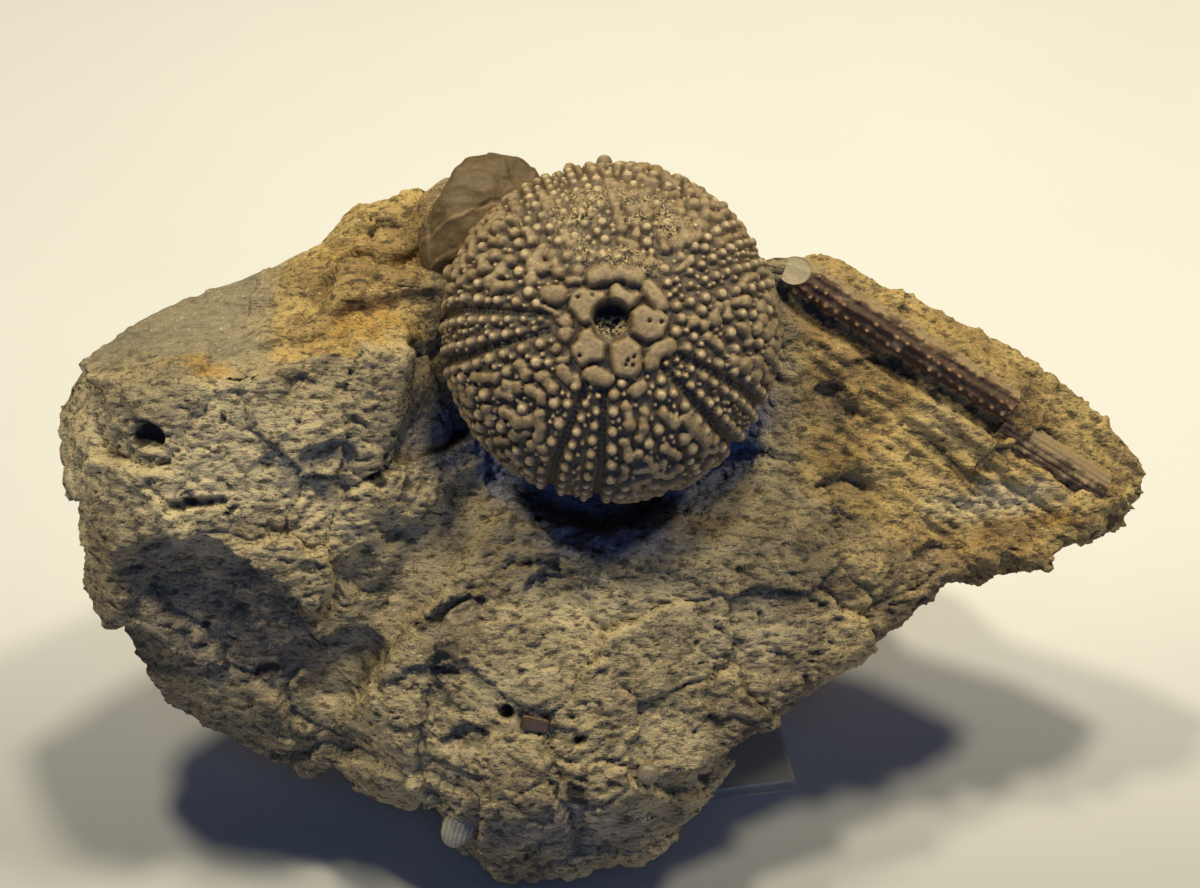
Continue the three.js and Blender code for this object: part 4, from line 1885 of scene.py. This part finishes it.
@dataclass
class Spine:
    """A length of sea urchin spine: a rod set with rows of granules, broken at its ends.

    Its ends are places on the face and its sizes are in millimetres.
    """

    face: Face
    name: str
    node: str
    start: Triple
    end: Triple
    radius: float
    rows: int = 10
    pitch: float = 1.0
    granule: float = 0.30
    granule_height: float = 0.24
    roughness: float = 0.13
    around: int = 96
    along: int = 190
    taper: float = 0.06
    wear: float = 0.0
    rib: float = 0.14
    flat: float = 1.0
    shear: float = 0.0
    cap_rings: int = 12
    seed: int = 3

    def build(self, material: bpy.types.Material) -> bpy.types.Object:
        """Make and dress the spine.

        Args:
            material: The finish, shared by both lengths.

        Returns:
            The finished piece.
        """
        start, end = np.array(self.start), np.array(self.end)
        length = float(np.linalg.norm(end - start))
        form = bmesh.new()
        bmesh.ops.create_cone(
            form, cap_ends=True, cap_tris=False, segments=self.around,
            radius1=self.radius, radius2=self.radius, depth=length,
        )
        sides = [e for e in form.edges if abs(e.verts[0].co.z - e.verts[1].co.z) > length / 2]
        bmesh.ops.subdivide_edges(form, edges=sides, cuts=self.along)
        caps = [face for face in form.faces if len(face.verts) > 4]
        for _ in range(self.cap_rings):
            bmesh.ops.inset_region(form, faces=caps, thickness=self.radius / (self.cap_rings + 1))
        piece = mesh_from(form, self.name)
        self._grain(piece.data, start, end, length)
        finish_piece(piece, material, [self.node])
        return piece

    def _grain(self, mesh: bpy.types.Mesh, start: Array, end: Array, length: float) -> None:
        """Raise the granules, roughen the broken ends, and lay the rod in its place.

        Args:
            mesh: The plain rod, upright about its middle.
            start: Where it starts on the face.
            end: Where it ends.
            length: How far that is.
        """
        noise = Noise(self.seed)
        points = points_of(mesh)
        out = np.hypot(points[:, 0], points[:, 1])
        bearing = np.arctan2(points[:, 1], points[:, 0])
        side = out > self.radius * 0.97
        run = points[:, 2] + length / 2
        tip, rib = self._granules(points, bearing, run, noise)
        rise = self.granule_height * tip * (1 - 0.7 * self.wear) + self.rib * rib
        rise += self.roughness * noise.fractal(points * [1, 1, 0.4], 1.0, 3)
        rise = rise * ease(run, 0.0, 0.7) + 0.10 * ease(run, 0.7, 0.0)
        shrink = 1 - self.taper * run / length - 0.16 * ease(run, 1.4, 0.0)
        grown = out * shrink - 0.16 * side + rise * side
        points[:, 0] = np.cos(bearing) * grown
        points[:, 1] = np.sin(bearing) * grown
        inner = 1 - ease(out, self.radius * 0.98, self.radius)
        points[:, 2] -= 0.12 * np.sign(points[:, 2]) * inner
        points[:, 2] += 0.10 * noise.fractal(points * [1, 1, 0], 0.8, 2) * ~side
        points[:, 2] -= self.shear * points[:, 1] * ease(run, 3.6, 0.0)
        points[:, 1] *= self.flat
        axis = (end - start) / length
        aside = np.cross(axis, [0, 0, 1.0])
        aside /= np.linalg.norm(aside)
        turn = np.stack([aside, np.cross(axis, aside), axis])
        upward = np.cos(bearing) * aside[1] + np.sin(bearing) * turn[1][1]
        # Painted light: the side facing up the face is painted tan, with the wear of the lower length
        # added.
        worn = ease(upward, -0.15, 0.75) + 1.1 * self.wear + 0.6 * noise.fractal(points, 1.3, 3)
        move_points(mesh, self.face.to_world(points @ turn + (start + end) / 2))
        paint(mesh, "tip", np.clip(tip * side, 0, 1))
        paint(mesh, "cut", (~side).astype(float))
        paint(mesh, "worn", np.clip(worn, 0, 1))

    def _granules(
        self, points: Array, bearing: Array, run: Array, noise: Noise
    ) -> tuple[Array, Array]:
        """Give where the granules and the ribs under their rows stand.

        Args:
            points: The rod's points.
            bearing: Their bearings about its axis, in radians.
            run: Their distances from its start.
            noise: The spine's noise.

        Returns:
            The share of each point in a granule and in a rib, each from 0 to 1.
        """
        row = bearing / (2 * math.pi) * self.rows
        across = (row - np.round(row)) * 2 * math.pi * self.radius / self.rows
        shift = (np.round(row) % 2) * 0.5 + 0.13 * np.sin(np.round(row) * 2.4)
        step = run / self.pitch + shift
        down = (step - np.round(step)) * self.pitch
        away = np.hypot(across, down * 0.8)
        tip = ease(away, self.granule, self.granule * 0.15)
        tip *= ease(noise.fractal(points, 1.3, 2), -0.5 + self.wear, 0.25 + self.wear)
        return tip, ease(np.abs(across), 0.36, 0.1)


# ---- Smaller fossils ----


def middle_of(face: Face, node: str) -> Triple:
    """Give the middle of a CAD node on the face."""
    low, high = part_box(node)
    return tuple(face.from_world((np.array([low]) + np.array([high])) / 2)[0])


@dataclass
class Fragment:
    """A broken piece of smooth shell, its corners rounded by wear, crossed by two growth lines.

    Its drawing up is a stretch and a shift, and a cut is a direction and how much of the shell's
    reach that way is broken off.
    """

    face: Face
    name: str
    node: str
    slot: str
    finish: ShellStone
    voxel: float = 0.17
    rounds: int = 9
    draw: Pair = (1.08, 0.9)
    lean: float = 0.16
    facet: float = 3.4
    seed: int = 37
    growth: tuple[float, ...] = (0.9, -1.6)
    cuts: tuple[tuple[Triple, float], ...] = (
        ((-0.90, 0.44, 0.0), 0.38), ((0.0, 0.98, 0.2), 0.12), ((0.45, 0.35, 0.82), 0.14),
        ((-0.62, -0.15, 0.77), 0.16), ((-0.97, -0.2, 0.1), 0.12),
    )

    def build(self) -> bpy.types.Object:
        """Make and dress the fragment.

        Returns:
            The finished piece.
        """
        form = bmesh.new()
        form.from_mesh(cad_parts[self.node].data)
        bmesh.ops.remove_doubles(form, verts=form.verts, dist=WELD)
        piece = mesh_from(form, self.name)
        skin_over(piece, self.voxel)
        self._flatten(piece.data)
        form = bmesh.new()
        form.from_mesh(piece.data)
        soften(form, self.rounds)
        form.to_mesh(piece.data)
        form.free()
        piece.data.shade_smooth()
        self._weather(piece.data)
        finish_piece(piece, self.finish.material(), [self.node])
        return piece

    def _flatten(self, mesh: bpy.types.Mesh) -> None:
        """Break the sides off flat, and draw the fragment up behind the test.

        Args:
            mesh: The fragment's mesh, which is changed.
        """
        middle = np.array(middle_of(self.face, self.node))
        local = self.face.from_world(points_of(mesh)) - middle
        for direction, share in self.cuts:
            normal = np.array(direction) / np.linalg.norm(direction)
            reach = local @ normal
            over = np.maximum(reach - reach.max() * (1 - share), 0.0)
            local = local - over[:, None] * normal * 0.92
        local[:, 1] = local[:, 1] * self.draw[0] + self.draw[1]
        local[:, 0] += self.lean * local[:, 1]
        move_points(mesh, self.face.to_world(local + middle))

    def _weather(self, mesh: bpy.types.Mesh) -> None:
        """Dent the surface softly and draw its fibres and growth lines.

        Args:
            mesh: The fragment's mesh, which is changed.
        """
        noise = Noise(self.seed)
        world = points_of(mesh)
        spots = self.face.from_world(world)
        local = spots - np.array(middle_of(self.face, self.node))
        facet, _, _ = noise.chips(spots + 5.0, self.facet)
        fibre = noise.fractal(local * np.array([0.35, 1.0, 1.0]), 0.8, 3)
        bend = local[:, 1] - 0.35 * local[:, 0] + 0.05 * local[:, 0] ** 2
        bend += 0.15 * noise.fractal(spots, 1.5, 2)
        line = np.zeros(len(spots))
        for level in self.growth:
            line = np.maximum(line, ease(np.abs(bend - level), 0.26, 0.05))
        rise = 0.07 * facet + 0.14 * noise.fractal(spots, 2.4, 3) + 0.05 * fibre + 0.025 * line
        facing = normals_of(mesh)
        move_points(mesh, world + facing * rise[:, None] * MM)
        paint(mesh, "line", np.clip(line + 0.25 * ease(fibre, 0.1, 0.8), 0, 1))


@dataclass
class Lump:
    """A small rounded fossil: its half sizes in millimetres, its turn in degrees and its form."""

    face: Face
    name: str
    node: str
    slot: str
    half: Triple
    turn: float
    finish: ShellStone
    squareness: float = 2.0
    lines: float = 0.0
    rough: float = 0.1
    density: int = 5
    seed: int = 41

    def build(self) -> bpy.types.Object:
        """Make and dress the fossil.

        Returns:
            The finished piece.
        """
        form = bmesh.new()
        bmesh.ops.create_icosphere(form, subdivisions=self.density, radius=1.0)
        piece = mesh_from(form, self.name)
        mesh = piece.data
        unit = points_of(mesh)
        spread = (np.abs(unit) ** self.squareness).sum(axis=1) ** (1 / self.squareness)
        shaped = unit / spread[:, None] * np.array(self.half)
        noise = Noise(self.seed)
        line = self._lines(shaped, noise)
        rise = self.rough * noise.fractal(shaped, 3.0, 3) + 0.012 * line
        move_points(mesh, shaped)
        shaped = shaped + normals_of(mesh) * rise[:, None]
        cos, sin = math.cos(math.radians(self.turn)), math.sin(math.radians(self.turn))
        turn = np.array([[cos, sin, 0], [-sin, cos, 0], [0, 0, 1]])
        centre = np.array(middle_of(self.face, self.node))
        move_points(mesh, self.face.to_world(shaped @ turn + centre))
        paint(mesh, "line", line)
        finish_piece(piece, self.finish.material(), [self.node])
        return piece

    def _lines(self, shaped: Array, noise: Noise) -> Array:
        """Give where the growth lines stand, from 0 to 1, if the fossil has any.

        Args:
            shaped: The fossil's points.
            noise: The fossil's noise.

        Returns:
            One share for each point.
        """
        if not self.lines:
            return np.zeros(len(shaped))
        bent = shaped[:, 1] + 0.35 * shaped[:, 0] ** 2 / self.half[0]
        bent += 0.25 * noise.fractal(shaped, 3.0, 2)
        return 0.5 + 0.5 * np.sin(bent * 2 * math.pi / self.lines)


# ---- The setting ----


@dataclass(frozen=True)
class Lamp:
    """One small lamp: its offset over the block in millimetres, its strength and what it lights."""

    across: float
    back: float
    power: float
    lights_floor: bool = False


@dataclass
class Setting:
    """The pale floor, the row of warm lamps, the cool fill and the camera.

    Sizes and offsets from the face's origin are in millimetres, and powers in watts. The lamps that
    light the block don't light the floor, so that each shadow falls as it should.
    """

    face: Face
    lamps: tuple[Lamp, ...] = (
        Lamp(205, 30, 1.0), Lamp(44, 34, 1.0), Lamp(-165, 34, 1.45),
        Lamp(205, 95, 1.05, True), Lamp(44, 95, 1.1, True), Lamp(-100, 95, 1.0, True),
    )
    lamp_height: float = 330.0
    lamp_size: float = 42.0
    lamp_colour: Colour = (1.0, 0.93, 0.70)
    lamp_power: float = 0.59
    room_colour: Colour = (0.75, 0.85, 1.0)
    room_strength: float = 0.026
    panel_colour: Colour = (0.22, 0.42, 1.0)
    panel_power: float = 1.05
    panel_size: float = 500.0
    panel_offset: Triple = (60.0, -620.0, 170.0)
    sky_offset: Triple = (60.0, -560.0, 800.0)
    sky_power: float = 0.8
    distance: float = 130.0
    lens: float = 50.0
    sensor: float = 36.0
    floor_half: float = 1500.0

    def build(self) -> None:
        """Make the floor, the lights and the camera."""
        self._floor()
        self._light()
        self._camera()

    def _floor(self) -> None:
        """Lay the pale floor under the stand, with painted shade towards the front."""
        form = bmesh.new()
        bmesh.ops.create_grid(form, x_segments=1, y_segments=1, size=self.floor_half * MM)
        floor = mesh_from(form, "floor")
        graph = Graph("pale_floor")
        mottle = graph.noise(30.0, 3.0, 0.5)
        body = mottle.blend((0.80, 0.785, 0.75), (0.84, 0.825, 0.79))
        # Painted shade: the floor grows darker towards the front.
        body = graph.along("Y").grade(0.025, -0.04).blend(body, (0.50, 0.49, 0.46))
        graph.set(Base_Color=body, Roughness=0.8)
        floor.data.materials.append(graph.material)

    def _light(self) -> None:
        """Hang the lamps and light the room faintly."""
        for index, lamp in enumerate(self.lamps):
            offset = (lamp.across, lamp.back, self.lamp_height)
            power = self.lamp_power * lamp.power
            light = self._hang(f"lamp_{index}", offset, self.lamp_size, power, self.lamp_colour)
            self._aim(light, lamp.lights_floor)
        panel = self._hang(
            "panel", self.panel_offset, self.panel_size, self.panel_power, self.panel_colour
        )
        self._aim(panel, floor_only=False)
        sky = self._hang("sky", self.sky_offset, self.panel_size, self.sky_power, self.panel_colour)
        self._aim(sky, floor_only=True)
        world = bpy.data.worlds.new("room")
        world.use_nodes = True
        background = next(n for n in world.node_tree.nodes if n.type == "BACKGROUND")
        background.inputs["Color"].default_value = (*self.room_colour, 1.0)
        background.inputs["Strength"].default_value = self.room_strength
        bpy.context.scene.world = world
        bpy.context.scene.view_settings.view_transform = "Standard"

    def _hang(
        self, name: str, offset: Triple, size: float, power: float,
        colour: Colour,
    ) -> bpy.types.Object:
        """Hang one round light that looks at the block.

        Args:
            name: The light's name.
            offset: Its place against the face's origin, in millimetres.
            size: Its diameter, in millimetres.
            power: Its power in watts.
            colour: Its colour.

        Returns:
            The light.
        """
        data = bpy.data.lights.new(name, "AREA")
        data.shape = "DISK"
        data.size = size * MM
        data.energy = power
        data.color = colour
        light = bpy.data.objects.new(name, data)
        light.location = Vector((np.array(self.face.origin) + np.array(offset)) * MM)
        light.rotation_euler = (-Vector(offset)).to_track_quat("-Z", "Y").to_euler()
        bpy.context.scene.collection.objects.link(light)
        return light

    @staticmethod
    def _aim(light: bpy.types.Object, floor_only: bool) -> None:
        """Let a lamp light the floor alone, or everything but the floor.

        Args:
            light: The lamp.
            floor_only: Whether only the floor is lit.
        """
        lit = bpy.data.collections.new(f"{light.name}_lit")
        lit.objects.link(bpy.data.objects["floor"])
        state = "INCLUDE" if floor_only else "EXCLUDE"
        lit.collection_objects[0].light_linking.link_state = state
        light.light_linking.receiver_collection = lit

    def _camera(self) -> None:
        """Look straight at the leaned face."""
        data = bpy.data.cameras.new("camera")
        data.lens = self.lens
        data.sensor_width = self.sensor
        data.clip_start = 0.01
        camera = bpy.data.objects.new("camera", data)
        across, up, out = (Vector(axis) for axis in self.face.axes)
        turn = Matrix((across, up, out)).transposed().to_4x4()
        spot = self.face.to_world(np.array([[0.0, 0.0, self.distance]]))[0]
        camera.matrix_world = Matrix.Translation(Vector(spot)) @ turn
        bpy.context.scene.collection.objects.link(camera)
        bpy.context.scene.camera = camera


def dress_stand() -> None:
    """Give the stand its clear acrylic."""
    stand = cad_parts["stand"]
    stand.data.materials.clear()
    stand.data.materials.append(ClearAcrylic().material())
    log.info("stand dressed")


def main() -> None:
    """Build every piece in order."""
    logging.basicConfig(level=logging.INFO, format="%(message)s")
    face = Face.over_stand()
    Block(face).build()
    Test(face).build()
    spine_stone = SpineStone().material()
    Spine(
        face, "spine_upper", "spine", (15.9, 14.2, -6.3), (33.9, 3.2, -7.1), 1.5, shear=1.0,
    ).build(spine_stone)
    Spine(
        face, "spine_lower", "spine_end", (33.2, 1.6, -8.6), (42.2, -3.8, -9.8), 1.4,
        rows=15, along=90, wear=0.40, rib=0.20, flat=0.7, seed=8,
    ).build(spine_stone)
    olive = ShellStone("lamp_shell_calcite", (0.125, 0.080, 0.034), (0.25, 0.160, 0.068), 0.6)
    Fragment(face, "lamp_shell_fragment", "lamp_shell", "shell", olive).build()
    pale = ShellStone("oyster_calcite", (0.22, 0.192, 0.150), (0.33, 0.295, 0.235))
    Lump(
        face, "oyster_fragment", "oyster", "pale_shell", (2.1, 1.3, 0.8), 60, pale,
        squareness=2.2, lines=0.4,
    ).build()
    white = ShellStone("ossicle_calcite", (0.20, 0.16, 0.11), (0.62, 0.58, 0.50), 0.35)
    Lump(face, "round_ossicle", "ossicle", "pale_shell", (0.9, 0.9, 0.7), 0, white).build()
    brown = ShellStone("scute_bone", (0.075, 0.040, 0.016), (0.20, 0.115, 0.040), 0.4)
    Lump(
        face, "bone_scute", "scute", "scute_brown", (1.15, 0.6, 0.45), -12, brown,
        squareness=6.0, rough=0.05,
    ).build()
    dress_stand()
    Setting(face).build()


if __name__ == "__main__":
    main()
